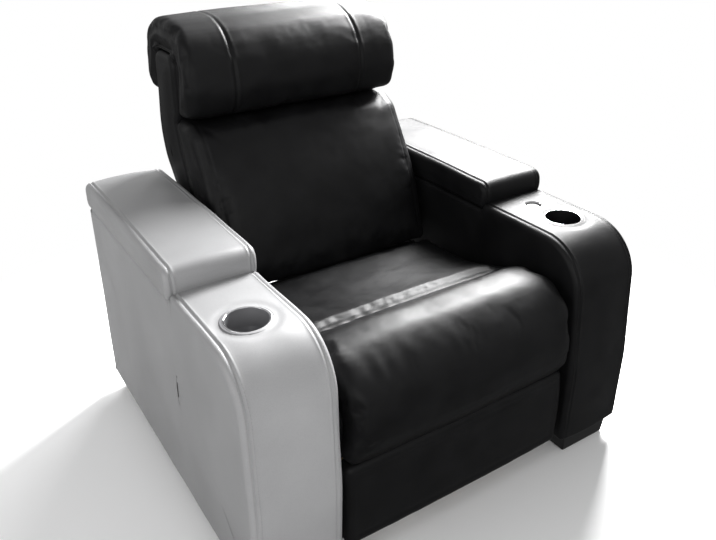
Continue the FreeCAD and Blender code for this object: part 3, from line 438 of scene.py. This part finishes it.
clothFrames = 20


def inflate(piece, look):
    # Cloth simulation of a stuffed cover: swells under pressure, held where it rests, and capped.
    remesh = piece.modifiers.new("voxels", "REMESH")
    remesh.mode = "VOXEL"
    remesh.voxel_size = look["voxel"] * mm
    modify(piece, remesh)
    start = coordinates(piece)
    cloth = piece.modifiers.new("cloth", "CLOTH")
    cloth.settings.quality = 4
    cloth.settings.use_pressure = True
    cloth.settings.uniform_pressure_force = look["pressure"]
    cloth.settings.effector_weights.gravity = 0
    cloth.settings.tension_stiffness = 15
    cloth.settings.compression_stiffness = 15
    cloth.settings.bending_stiffness = 0.5
    cloth.point_cache.frame_start = 1
    cloth.point_cache.frame_end = clothFrames
    for number in range(1, clothFrames + 1):
        bpy.context.scene.frame_set(number)
    modify(piece, cloth)
    bpy.context.scene.frame_set(1)
    swollen = coordinates(piece)
    move = swollen - start
    far = np.linalg.norm(move, axis=1)
    cap = look["cap"] * mm
    limited = cap * np.tanh(far / cap)
    move *= (limited / np.maximum(far, 1e-9))[:, None]
    move *= look["free"](sideView(start.copy()))[:, None]
    setCoordinates(piece, start + move)
    subdivide(piece)
    return piece


def finish(piece, slot, body, *nodes, fill=None):
    # Hides the CAD nodes that the piece stands for and attaches the piece to the body that it rides on; the
    # slot is not used.
    if nodes:
        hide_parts(*nodes)
    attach(piece, body)


def stitchRow(name, path, up, material, look):
    # Stitches along a path of points in metres: short rounded lozenges, length apart by a gap.
    # Each stitch is a six-sided capsule whose rings follow sqrt(1-s^2) along its length.
    path, up = np.asarray(path), np.asarray(up)
    step = np.linalg.norm(np.diff(path, axis=0), axis=1)
    length = np.concatenate([[0], np.cumsum(step)])
    pitch = (look["stitch"] + look["gap"]) * mm
    count = max(1, int(length[-1] // pitch))
    where = (np.arange(count) + 0.5) * length[-1] / count
    centre = np.column_stack([np.interp(where, length, path[:, a]) for a in range(3)])
    ahead = np.column_stack([np.interp(where + pitch / 3, length, path[:, a]) for a in range(3)])
    behind = np.column_stack([np.interp(where - pitch / 3, length, path[:, a]) for a in range(3)])
    along = ahead - behind
    along /= np.linalg.norm(along, axis=1)[:, None]
    rise = np.column_stack([np.interp(where, length, up[:, a]) for a in range(3)])
    rise -= along * np.sum(rise * along, axis=1)[:, None]
    rise /= np.linalg.norm(rise, axis=1)[:, None]
    across = np.cross(along, rise)
    sides = 6
    stations = np.array([-1, -0.85, 0, 0.85, 1])
    swell = np.array([0.15, 0.75, 1, 0.75, 0.15])
    angle = np.arange(sides) / sides * 2 * math.pi
    radius = look["thread"] * mm / 2
    local = np.stack([np.repeat((stations * look["stitch"] * mm / 2)[:, None], sides, axis=1),
                      np.cos(angle) * radius * swell[:, None],
                      np.sin(angle) * radius * swell[:, None] * look["flat"]], axis=-1).reshape(-1, 3)
    points = (centre[:, None, :] + along[:, None, :] * local[None, :, 0:1]
              + across[:, None, :] * local[None, :, 1:2] + rise[:, None, :] * local[None, :, 2:3])
    per = len(local)
    starts = (np.arange(count) * per)[:, None, None]
    faces = (gridFaces(len(stations), sides)[None] + starts).reshape(-1, 4)
    caps = np.array([list(range(sides))[::-1], list(range(per - sides, per))])
    ends = (caps[None] + starts).reshape(-1, sides)
    return meshFrom(name, points.reshape(-1, 3), faces.tolist() + ends.tolist(), material)


topStitch = {"stitch": 5.0, "gap": 2.0, "thread": 0.9, "flat": 0.8}
# mm from the leather up to a thread's middle, and the least of it
threadRise, leastRise = 0.75, 0.45


def fineAcross(left, right, seams, coarse=7.0, fine=1.2, reach=9.0):
    # x stations over a band, coarse in the open and fine beside its seams.
    stations = list(np.arange(left, right, coarse))
    for seam in seams:
        stations = [s for s in stations if abs(s - seam) > reach]
        stations += list(np.arange(seam - reach, seam + reach + 0.1, fine))
    return sorted(stations)


# Arms

armLeather = {"left": blackLeather, "right": greyLeather}
armThread = {"left": blackThread, "right": greyThread}
armSlot = {"left": "black_leather", "right": "grey_leather"}

armLook = {"inner": 315.0, "outer": 515.0, "top": 575.0, "ledge": 559.0, "depth": 922.0, "foot": 51.0,
           "lidFront": 333.0, "roll": 118.0, "edge": 13.0, "crown": 4.0, "seamInset": 15.0,
           "seamDepth": 2.2, "seamWidth": 2.6, "ridge": 0.9, "cup": (422.0, 162.0), "cupHole": 45.2,
           "control": (417.0, 260.0), "controlHole": 20.6, "binHalf": 66.0, "bin": (368.0,
                                                                                    880.0), "flange": 8.0,
           "stitchOff": 5.2}


def seamShape(distance, look):
    # Cross-section of a sewn seam: a groove between two low ridges of turned leather.
    groove = -look["seamDepth"] * bell(distance, look["seamWidth"])
    ridges = look["ridge"] * bell(np.abs(distance) - 2.2 * look["seamWidth"], look["seamWidth"])
    return groove + ridges


def armOutline():
    look = armLook
    return roundedOutline([
        (1, look["foot"], 8), (look["depth"], look["foot"], 8), (look["depth"], look["ledge"] - 0.5, 6),
        (look["lidFront"] + 14, look["ledge"] - 0.5, 3), (look["lidFront"] + 2, look["top"], 3),
        (9, look["top"] + 1, look["roll"]), (-7, 250, 500)], 5.0)


def uprightCutter(name, ring, z):
    # A closed ring of x and y, lifted from one height to another and capped.
    count = len(ring)
    points = np.vstack([np.column_stack([ring, np.full(count, z[0])]),
                        np.column_stack([ring, np.full(count, z[1])])])
    here = np.arange(count)
    ahead = (here + 1) % count
    faces = np.column_stack([here, ahead, ahead + count, here + count]).tolist()
    faces += [here[::-1].tolist(), (here + count).tolist()]
    return meshFrom(name, inFrame(points), faces, None, smooth=False)


def boxCutter(name, x, y, z, radius):
    # A box with rounded upright edges.
    corners = [(x[0], y[0], radius), (x[1], y[0], radius), (x[1], y[1], radius), (x[0], y[1], radius)]
    return uprightCutter(name, roundedOutline(corners, 6.0), z)


def roundCutter(name, centre, z, radius, sides=96):
    angle = np.arange(sides) / sides * 2 * math.pi
    ring = np.column_stack([centre[0] + radius * np.cos(angle), centre[1] + radius * np.sin(angle)])
    return uprightCutter(name, ring, z)


def makeArm(side):
    # One upholstered arm: side panels, the band over its top and front, and the seams between them.
    look = armLook
    sign = 1 if side == "left" else -1
    left, right = look["inner"], look["outer"]
    outline = armOutline()
    seams = (left + look["seamInset"], right - look["seamInset"])
    shape = {"edge": look["edge"], "crown": look["crown"], "puff": 2.5, "sideSteps": 16, "edgeSteps": 7,
             "spine": [(230, 290), (700, 300)], "across": fineAcross(left, right, seams)}
    grid = paddedPrism(outline, left, right, shape)
    normal = outwardNormals(outline)
    across = grid[:, 0, 0]
    band = (np.abs(across - (left + right) / 2) < (right - left) / 2 - look["edge"] + 0.5)
    onFront = outline[:, 0] < look["lidFront"] + 1
    strength = np.where(onFront & (outline[:, 1] > look["foot"] + 6), 1.0, 0.0)
    strength *= np.clip((outline[:, 1] - 120) / 260, 0.35, 1)
    underLid = (outline[:, 0] > look["lidFront"] + 1) & (normal[:, 1] > 0.5)
    for row in np.where(band)[0]:
        rise = sum(seamShape(across[row] - s, look) for s in seams) * strength
        grid[row, :, 1:] += normal * rise[:, None]
        grid[row, underLid, 2] = np.minimum(grid[row, underLid, 2], look["ledge"] - 0.5)
    grid[:, :, 0] *= sign
    piece = closedPiece(side + "_arm_upholstery", grid, armLeather[side])
    points = sideView(coordinates(piece))
    facing = vertexNormals(piece)
    lift = 0.8 * valueNoise(points, 90.0, 3) + 0.35 * valueNoise(points, 38.0, 5)
    cup = np.hypot(points[:, 0] - sign * look["cup"][0], points[:, 1] - look["cup"][1])
    top = (points[:, 2] > 560) & (points[:, 1] < look["lidFront"])
    lift = lift - np.where(top, 2.2 * bell(cup - 60, 7) + 0.9 * bell(cup - 54, 4), 0)
    lift = np.where((points[:, 1] > look["lidFront"]) & (points[:, 2] > look["ledge"] - 14), -0.4, lift)
    points += facing * lift[:, None]
    setCoordinates(piece, inFrame(points))
    cupAt = (sign * look["cup"][0], look["cup"][1])
    cutWith(piece, roundCutter("cup_cut", cupAt, (490, 600), look["cupHole"]))
    if sign > 0:
        cutWith(piece, roundCutter("control_cut", look["control"], (540, 600), look["controlHole"], 64))
    middle = sign * (left + right) / 2
    cutWith(piece, boxCutter("tray_cut", (middle - look["binHalf"], middle + look["binHalf"]), look["bin"],
                             (380, 600), 14))
    wide = look["binHalf"] + look["flange"]
    cutWith(piece, boxCutter("flange_cut", (middle - wide, middle + wide),
                             (look["bin"][0] - look["flange"], look["bin"][1] + 14), (556.4, 600), 4))
    finish(piece, armSlot[side], "base", side + "_arm_cover", fill=0.9)
    sewArm(side, sign, outline, normal, seams)
    return piece


def sewArm(side, sign, outline, normal, seams):
    # Two rows of topstitching beside each long seam of the arm, from the lid over the front.
    look = armLook
    keep = (outline[:, 0] < look["lidFront"] - 4) & (outline[:, 1] > look["foot"] + 25)
    index = np.where(keep)[0]
    order = index[np.argsort(np.unwrap(np.arctan2(outline[index, 1] - 300, outline[index, 0] - 400)))]
    path2, up2 = outline[order], normal[order]
    rows = 0
    for seam in seams:
        for way in (-1, 1):
            x = seam + way * look["stitchOff"]
            half = (look["outer"] - look["inner"]) / 2 - look["edge"]
            lift = look["crown"] * (1 - ((x - (look["inner"] + look["outer"]) / 2) / half) ** 2)
            lift = max(lift + threadRise, leastRise)
            path = inFrame(np.column_stack([np.full(len(path2), sign * x), path2 + up2 * lift]))
            up = np.column_stack([np.zeros(len(up2)), up2])
            rows += 1
            row = stitchRow(f"{side}_arm_stitches_{rows}", path, up, armThread[side], topStitch)
            finish(row, armSlot[side], "base")


# Lids

lidLook = {"edge": 13.0, "crown": 5.0, "puff": 1.5, "seamInset": 15.0, "seamDepth": 1.8, "seamWidth": 2.4,
           "ridge": 0.8, "stitchOff": 5.0, "inner": 315.0, "outer": 519.0, "under": 559.5, "boardHalf": 78.4,
           "board": (376.6, 900.4)}


def makeLid(side):
    # Storage lid: a board under a thick pad with a rounded front, top and rear.
    look = lidLook
    sign = 1 if side == "left" else -1
    left, right = look["inner"], look["outer"]
    outline = roundedOutline([(340, 559.8, 6), (908, 559.8, 4), (922, 571, 8), (923, 627, 22),
                              (630, 630, 1500),
                              (338, 628, 26), (331, 590, 60)], 5.0)
    seams = (left + look["seamInset"], right - look["seamInset"])
    shape = {"edge": look["edge"], "crown": look["crown"], "puff": look["puff"], "sideSteps": 9,
             "edgeSteps": 7,
             "spine": [(372, 594), (888, 594)], "across": fineAcross(left, right, seams)}
    grid = paddedPrism(outline, left, right, shape)
    normal = outwardNormals(outline)
    across = grid[:, 0, 0]
    band = np.abs(across - (left + right) / 2) < (right - left) / 2 - look["edge"] + 0.5
    flat = normal[:, 1] < -0.85
    for row in range(len(across)):
        grid[row, flat, 2] = np.maximum(grid[row, flat, 2], 559.6)
    for row in np.where(band)[0]:
        rise = sum(seamShape(across[row] - s, look) for s in seams) * np.where(normal[:, 1] > -0.3, 1.0, 0.0)
        grid[row, :, 1:] += normal * rise[:, None]
    grid[:, :, 0] *= sign
    piece = closedPiece(side + "_lid_upholstery", grid, armLeather[side])
    points = sideView(coordinates(piece))
    facing = vertexNormals(piece)
    lift = (0.9 * valueNoise(points, 80.0, 11) + 0.3 * valueNoise(points, 33.0, 12)) * (points[:, 2] > 566)
    points += facing * lift[:, None]
    points[:, 2] = np.maximum(points[:, 2], look["under"])
    setCoordinates(piece, inFrame(points))
    middle = sign * (armLook["inner"] + armLook["outer"]) / 2
    cutWith(piece, boxCutter("board_cut", (middle - look["boardHalf"], middle + look["boardHalf"]),
                             look["board"],
                             (550, 571.6), 2))
    finish(piece, armSlot[side], side + "_lid", side + "_lid_pad", fill=0.9)
    rows = 0
    keep = normal[:, 1] > -0.25
    index = np.where(keep)[0]
    turn = np.arctan2(outline[index, 1] - 570, outline[index, 0] - 630)
    order = index[np.argsort(turn)]
    for seam in seams:
        for way in (-1, 1):
            x = seam + way * look["stitchOff"]
            half = (right - left) / 2 - look["edge"]
            lift = look["crown"] * (1 - ((x - (left + right) / 2) / half) ** 2)
            lift = max(lift + threadRise, leastRise)
            path = inFrame(np.column_stack([np.full(len(order), sign * x),
                                            outline[order] + normal[order] * lift]))
            up = np.column_stack([np.zeros(len(order)), normal[order]])
            rows += 1
            row = stitchRow(f"{side}_lid_stitches_{rows}", path, up, armThread[side], topStitch)
            finish(row, armSlot[side], side + "_lid")


# Seat

def gathers(points, x, wave, bend, seed):
    # short folds that run from a seam: a sine across x whose phase and strength wander slowly
    wander = valueNoise(points, bend, seed)
    strength = np.clip(0.35 + 0.9 * valueNoise(points, bend * 1.6, seed + 50), 0, 1.2)
    return np.sin(x / wave + 2.8 * wander) * strength


def makeSeatCushion():
    # Main seat cushion, from the cross seam to the back, crowned between the arms
    outline = roundedOutline([(201, 352, 10), (526, 352, 12), (533, 411, 12), (416, 416, 600),
                              (300, 430, 600),
                              (201, 466, 8)], 6.0)
    shape = {"edge": 20.0, "crown": 5.0, "puff": 2.0, "sideSteps": 7, "edgeSteps": 6,
             "spine": [(262, 392), (466, 384)], "across": np.arange(-290, 291, 9.0)}
    piece = closedPiece("seat_cushion_leather", paddedPrism(outline, -299.0, 299.0, shape), blackLeather)

    def free(p):
        rear = np.clip((528 - p[:, 1]) / 30, 0, 1)
        return np.clip((p[:, 2] - 372) / 40, 0, 1) * rear * np.clip((p[:, 1] - 199) / 40, 0.15, 1)

    inflate(piece, {"voxel": 6, "pressure": 4, "cap": 12, "free": free})
    p = sideView(coordinates(piece))
    n = vertexNormals(piece)
    top = np.clip((p[:, 2] - 405) / 12, 0, 1)
    near = np.exp(-np.clip(p[:, 1] - 201, 0, None) / 42) * top
    lift = near * 1.5 * gathers(p, p[:, 0], 6.5, 55.0, 21)
    lift += top * (2.0 * valueNoise(p, 120.0, 23) + 0.7 * valueNoise(p, 46.0, 24)
                   + 0.25 * valueNoise(p, 18.0, 25))
    rearFolds = np.exp(-np.clip(530 - p[:, 1], 0, None) / 55) * top
    lift += rearFolds * 1.3 * gathers(p, p[:, 0], 9.0, 70.0, 26)
    p += n * lift[:, None]
    p[:, 1] = np.clip(p[:, 1], 200.4, 534.0)
    setCoordinates(piece, inFrame(p))
    finish(piece, "black_leather", "base", "seat_cushion", fill=0.75)


def makeRearTongue():
    # Leather tongue behind the seat that closes the view down past the foot of the back
    outline = roundedOutline([(505, 385, 2), (576, 381, 3), (577, 390, 3), (540, 392.5, 60), (505, 392, 2)],
                             5.0)
    shape = {"edge": 3.5, "crown": 0.0, "puff": 0.0, "sideSteps": 3, "edgeSteps": 4,
             "spine": [(512, 388.5), (570, 386)], "across": np.arange(-258, 259, 8.0)}
    piece = closedPiece("seat_rear_tongue", paddedPrism(outline, -262.0, 262.0, shape), blackLeather)
    finish(piece, "black_leather", "base", fill=0.9)


def makeFrontRoll():
    # Crowned front of the seat that rolls over the front rail and ends in the seam at the panel
    outline = roundedOutline([(52, 274, 6), (54, 351, 4), (199.6, 351, 6), (199.6, 467, 8), (144, 490, 90),
                              (62, 495, 70), (-3, 450, 62), (-19, 372, 90), (-14, 306, 50), (10, 269,
                                                                                             9)], 6.0)
    shape = {"edge": 26.0, "crown": 4.0, "puff": 3.0, "sideSteps": 8, "edgeSteps": 8,
             "spine": [(24, 310), (32, 400), (90, 420), (160, 404)], "across": np.arange(-280, 281, 8.0)}
    piece = closedPiece("seat_front_roll_leather", paddedPrism(outline, -300.0, 300.0, shape), blackLeather)

    def free(p):
        hidden = (p[:, 1] > 40) & (p[:, 2] < 380)
        return np.where(hidden, 0, 1) * np.clip((p[:, 2] - 272) / 60, 0, 1) * np.clip((200 - p[:, 1]) / 40,
                                                                                      0.15, 1)

    inflate(piece, {"voxel": 6, "pressure": 4, "cap": 11, "free": free})
    p = sideView(coordinates(piece))
    n = vertexNormals(piece)
    near = np.exp(-np.clip(199 - p[:, 1], 0, None) / 34) * (p[:, 2] > 420)
    lift = near * 1.5 * gathers(p, p[:, 0], 6.5, 55.0, 31)
    crest = bell(p[:, 2] - 468, 26) * (p[:, 1] < 70)
    lift += crest * 1.0 * gathers(p, p[:, 0], 7.5, 60.0, 33)
    low = np.exp(-np.clip(p[:, 2] - 272, 0, None) / 40) * (p[:, 1] < 40)
    lift += low * 1.3 * gathers(p, p[:, 0], 8.0, 55.0, 34)
    lift += 1.8 * valueNoise(p, 130.0, 35) + 0.6 * valueNoise(p, 48.0, 36) + 0.25 * valueNoise(p, 18.0, 37)
    p += n * lift[:, None]
    p[:, 1] = np.minimum(p[:, 1], 200.0)
    setCoordinates(piece, inFrame(p))
    finish(piece, "black_leather", "base", "seat_front_roll", fill=0.8)


# Footrest panel

def makeFootPanel():
    # Padded front panel: a shallow cushion with a boxed edge.
    outline = roundedOutline([(6, 63, 12), (44.5, 62.5, 5), (44.5, 267.5, 5), (6, 267, 14), (1, 165, 700)],
                             6.0)
    shape = {"edge": 16.0, "crown": 2.0, "puff": 1.0, "sideSteps": 5, "edgeSteps": 7,
             "spine": [(25, 90), (25, 240)], "across": np.arange(-290, 291, 8.0)}
    piece = closedPiece("footrest_panel_leather", paddedPrism(outline, -303.0, 303.0, shape), blackLeather)
    p = sideView(coordinates(piece))
    n = vertexNormals(piece)
    front = p[:, 1] < 30
    rim = np.minimum(np.minimum(p[:, 2] - 62, 268 - p[:, 2]), 303 - np.abs(p[:, 0]))
    lift = front * (1.0 * valueNoise(p, 100.0, 41) + 0.4 * valueNoise(p, 36.0, 42))
    lift -= front * 1.4 * bell(rim - 26, 3)
    p += n * lift[:, None]
    p[:, 1] = np.minimum(p[:, 1], 44.6)
    setCoordinates(piece, inFrame(p))
    finish(piece, "black_leather", "footrest", "footrest_pad", fill=0.85)


# Back

def makeBackCushion():
    # Front cushion of the back between the seat and the head pillow
    outline = roundedOutline([(536, 399, 12), (641, 401, 6), (793, 717, 30), (812, 786, 6), (742, 786, 12),
                              (702, 766, 40), (604, 622, 800)], 8.0)
    shape = {"edge": 24.0, "crown": 9.0, "puff": 1.0, "sideSteps": 8, "edgeSteps": 8,
             "spine": [(605, 440), (700, 620), (750, 730)], "across": np.arange(-290, 291, 9.0)}
    piece = closedPiece("back_cushion_leather", paddedPrism(outline, -302.0, 302.0, shape), blackLeather)

    def free(p):
        depth = (p[:, 1] - 540) * 0.901 - (p[:, 2] - 408) * 0.434
        return np.clip((70 - depth) / 40, 0, 1) * np.clip((303 - np.abs(p[:, 0])) / 20, 0.2, 1)

    inflate(piece, {"voxel": 7, "pressure": 4, "cap": 9, "free": free})
    p = sideView(coordinates(piece))
    n = vertexNormals(piece)
    depth = (p[:, 1] - 540) * 0.901 - (p[:, 2] - 408) * 0.434
    front = np.clip((45 - depth) / 14, 0, 1)
    seam = np.abs(p[:, 0]) - 274
    lift = front * (2.2 * valueNoise(p, 140.0, 51) + 0.7 * valueNoise(p, 50.0, 52)
                    + 0.25 * valueNoise(p, 19.0, 53))
    lift += front * (0.5 * bell(np.abs(seam) - 6, 3.0) - 1.5 * bell(seam, 2.6))
    foot = np.exp(-np.clip(p[:, 2] - 405, 0, None) / 50) * front
    lift += foot * 1.2 * gathers(p, p[:, 0], 8.5, 65.0, 54)
    p += n * lift[:, None]
    setCoordinates(piece, inFrame(p))
    finish(piece, "black_leather", "back", "back_cushion", fill=0.75)


def makeBackCover():
    # Side gussets and outside back as one closed padded shell behind the back cushion
    outline = roundedOutline([(641, 403, 8), (716, 402, 12), (752, 472, 120), (812, 546, 160),
                              (876, 607, 120),
                              (918, 656, 120), (936, 710, 120), (939, 770, 200), (931, 842, 60), (925, 944,
                                                                                                  34),
                              (798, 944, 34), (797, 800, 20), (812, 772, 8), (793, 717, 40)], 8.0)
    shape = {"edge": 14.0, "crown": 6.0, "puff": 3.0, "sideSteps": 8, "edgeSteps": 6,
             "spine": [(690, 440), (770, 560), (860, 680), (868, 760), (862, 890)],
             "across": np.arange(-288, 289, 9.0)}
    piece = closedPiece("back_cover_leather", paddedPrism(outline, -300.0, 300.0, shape), blackLeather)
    p = sideView(coordinates(piece))
    n = vertexNormals(piece)
    lift = 1.5 * valueNoise(p, 120.0, 61) + 0.5 * valueNoise(p, 44.0, 62)
    p += n * lift[:, None]
    setCoordinates(piece, inFrame(p))
    finish(piece, "black_leather", "back", "back_cover", fill=0.7)


def makePillow():
    # Saddle pillow: front cushion, round top and the roll that hangs behind, with two panel seams
    outline = roundedOutline([(797, 791, 10), (797, 945, 30), (925, 945, 30), (925, 832, 10), (958, 822, 26),
                              (992, 852, 40), (999, 920, 60), (985, 985, 60), (920, 1022, 70), (815, 1022,
                                                                                                90),
                              (738, 985, 62), (707, 925, 54), (700, 862, 42), (722, 799, 30)], 7.0)
    shape = {"edge": 26.0, "crown": 6.0, "puff": 5.0, "sideSteps": 8, "edgeSteps": 8,
             "spine": [(758, 830), (755, 930), (800, 978), (900, 985), (955, 960), (958, 860)],
             "across": fineAcross(-285, 285, (-180, 180), 8.0, 2.0)}
    piece = closedPiece("head_pillow_leather", paddedPrism(outline, -305.0, 305.0, shape), blackLeather)

    def free(p):
        inside = (p[:, 1] > 790) & (p[:, 1] < 932) & (p[:, 2] < 952)
        return np.where(inside, 0.0, 1.0) * np.clip((1040 - p[:, 2]) / 40, 0.3, 1)

    inflate(piece, {"voxel": 7, "pressure": 4, "cap": 12, "free": free})
    p = sideView(coordinates(piece))
    n = vertexNormals(piece)
    outside = free(p)
    seam = np.abs(p[:, 0]) - 180
    along = p[:, 2] + (p[:, 1] - 850)
    lift = 0.8 * bell(np.abs(seam) - 8, 4) - 3.0 * bell(seam, 3.4)
    lift += 1.1 * np.exp(-np.abs(seam) / 34) * gathers(p, along, 9.0, 60.0, 71)
    low = np.exp(-np.clip(p[:, 2] - 800, 0, None) / 40)
    lift += 1.1 * low * gathers(p, p[:, 0], 9.0, 60.0, 75)
    lift += 2.4 * valueNoise(p, 120.0, 72) + 0.9 * valueNoise(p, 48.0, 73) + 0.25 * valueNoise(p, 18.0, 74)
    p += n * (lift * outside)[:, None]
    setCoordinates(piece, inFrame(p))
    finish(piece, "black_leather", "back", "head_pillow", fill=0.8)


# Cup rims

cupLook = {"centre": (422.0, 162.0), "seat": 578.0, "radius": 45.4, "width": 1.9, "height": 1.2}


def makeCupTrim(side):
    # Chrome-plated brass ring in the cup's rim: half an ellipse turned round the cup's axis, closed below
    look = cupLook
    sign = 1 if side == "left" else -1
    turn = np.arange(128) / 128 * 2 * math.pi
    bend = np.linspace(0, math.pi, 10)
    out = np.concatenate([look["width"] * np.cos(bend), look["width"] * np.linspace(-1, 1, 4)[1:-1]])
    up = np.concatenate([look["height"] * np.sin(bend), np.full(2, -0.4)])
    reach = look["radius"] + out[None, :]
    points = np.stack([sign * look["centre"][0] + reach * np.cos(turn)[:, None],
                       look["centre"][1] + reach * np.sin(turn)[:, None],
                       look["seat"] + np.repeat(up[None, :], 128, axis=0)], axis=-1)
    points = np.vstack([points, points[:1]])
    piece = closedPiece(side + "_cup_trim", points, chromePlate, 0.00002)
    finish(piece, "chrome", "base")


for armSide in ("left", "right"):
    makeArm(armSide)
    makeLid(armSide)
    makeCupTrim(armSide)
print("arms and lids upholstered")
makeSeatCushion()
makeRearTongue()
makeFrontRoll()
makeFootPanel()
print("seat and footrest upholstered")
makeBackCushion()
makeBackCover()
makePillow()
print("back upholstered")


# Stage, light and camera

stageLook = {"size": 7.0, "paper": "#fbfbfb", "drop": 0.0005, "clearFrom": 0.85, "clearTo": 1.45,
             "fill": 0.42, "gloss": 0.6,
             "floorGloss": 0.18}


def eyeRays(tree):
    # Is Camera, Glossy or Transmission Ray as one value, and Is Glossy Ray alone
    path = addNode(tree, "ShaderNodeLightPath")
    seen = addNode(tree, "ShaderNodeMath", {"operation": "MAXIMUM"},
                   {0: path["Is Camera Ray"], 1: path["Is Glossy Ray"]})["Value"]
    seen = addNode(tree, "ShaderNodeMath", {"operation": "MAXIMUM"},
                   {0: seen, 1: path["Is Transmission Ray"]})["Value"]
    return seen, path["Is Glossy Ray"]


def makeStage():
    # White paper floor that keeps the seat's shadow. Further out the camera sees it as plain white; gloss
    # sees all of it as an even grey, and the world as a paler one, so that dark leather stays dark
    look = stageLook
    size = look["size"]
    corners = np.array([[-size, -size, 0], [size, -size, 0], [size, size, 0], [-size, size, 0]])
    corners[:, 2] = -look["drop"]
    floor = meshFrom("studio_floor", corners, [[0, 1, 2, 3]], None, smooth=False)
    material, tree, shader, place = newMaterial("white_paper_sweep")
    fibre = addNode(tree, "ShaderNodeTexNoise", {"Scale": 400.0, "Detail": 2.0}, {"Vector": place})["Fac"]
    bump = addNode(tree, "ShaderNodeBump", {"Strength": 0.05, "Distance": 0.1 * mm},
                   {"Height": fibre})["Normal"]
    tree.links.new(bump, shader.inputs["Normal"])
    shader.inputs["Base Color"].default_value = linear(look["paper"])
    shader.inputs["Roughness"].default_value = 0.9
    away = addNode(tree, "ShaderNodeVectorMath", {"operation": "LENGTH"}, {0: place})["Value"]
    clear = addNode(tree, "ShaderNodeMapRange",
                    {"interpolation_type": "SMOOTHSTEP", "From Min": look["clearFrom"],
                                                 "From Max": look["clearTo"]}, {"Value": away})["Result"]
    seen, glossy = eyeRays(tree)
    share = addNode(tree, "ShaderNodeMath", {"operation": "MULTIPLY"}, {0: seen, 1: clear})["Value"]
    share = addNode(tree, "ShaderNodeMath", {"operation": "MAXIMUM"}, {0: share, 1: glossy})["Value"]
    strength = addNode(tree, "ShaderNodeMapRange", {"To Min": 1.0, "To Max": look["floorGloss"]},
                       {"Value": glossy})["Result"]
    glow = addNode(tree, "ShaderNodeEmission", {"Color": (1, 1, 1, 1)}, {"Strength": strength})["Emission"]
    both = addNode(tree, "ShaderNodeMixShader",
                   links={0: share, 1: shader.outputs["BSDF"], 2: glow})["Shader"]
    out = next(n for n in tree.nodes if n.type == "OUTPUT_MATERIAL")
    tree.links.new(both, out.inputs["Surface"])
    floor.data.materials.append(material)

    world = bpy.data.worlds.new("studio")
    bpy.context.scene.world = world
    world.use_nodes = True
    tree = world.node_tree
    tree.nodes.clear()
    seen, glossy = eyeRays(tree)
    strength = addNode(tree, "ShaderNodeMapRange", {"To Min": 1.0, "To Max": look["gloss"]},
                       {"Value": glossy})["Result"]
    white = addNode(tree, "ShaderNodeBackground", {"Color": (1, 1, 1, 1)},
                    {"Strength": strength})["Background"]
    fill = addNode(tree, "ShaderNodeBackground",
                   {"Color": (1, 1, 1, 1), "Strength": look["fill"]})["Background"]
    both = addNode(tree, "ShaderNodeMixShader", links={0: seen, 1: fill, 2: white})["Shader"]
    addNode(tree, "ShaderNodeOutputWorld", links={"Surface": both})


def addLamp(name, place, target, size, power):
    # A soft rectangular lamp that points at a target.
    lamp = bpy.data.lights.new(name, "AREA")
    lamp.shape = "RECTANGLE"
    lamp.size, lamp.size_y = size
    lamp.energy = power
    holder = bpy.data.objects.new(name, lamp)
    holder.location = place
    holder.rotation_euler = (Vector(target) - Vector(place)).to_track_quat("-Z", "Y").to_euler()
    bpy.context.scene.collection.objects.link(holder)


def makeCamera():
    # The camera that the photograph's perspective gives: position, direction, lens and shift.
    view = {"place": (-0.916, armFront - 1.0124, 1.3555), "forward": (0.50994, 0.76457, -0.39419),
            "lens": 38.756, "shift": (-0.02297, -0.09457)}
    camera = bpy.data.cameras.new("camera")
    camera.lens = view["lens"]
    camera.sensor_width = 36.0
    camera.shift_x, camera.shift_y = view["shift"]
    holder = bpy.data.objects.new("camera", camera)
    holder.location = view["place"]
    holder.rotation_euler = Vector(view["forward"]).to_track_quat("-Z", "Y").to_euler()
    bpy.context.scene.collection.objects.link(holder)
    bpy.context.scene.camera = holder


makeStage()
addLamp("windowLow", (1.9, 2.75, 1.95), (0.05, -0.1, 0.5), (1.3, 1.0), 70)
addLamp("windowHigh", (1.75, 1.0, 2.05), (0.0, -0.25, 0.45), (1.3, 1.1), 400)
addLamp("side", (-3.0, -0.6, 1.6), (0, 0, 0.5), (1.8, 1.8), 27)
addLamp("front", (-1.0, -3.2, 1.8), (0, 0, 0.4), (2.0, 1.6), 32)
makeCamera()
bpy.context.scene.view_settings.view_transform = "Standard"
print("stage and camera ready")
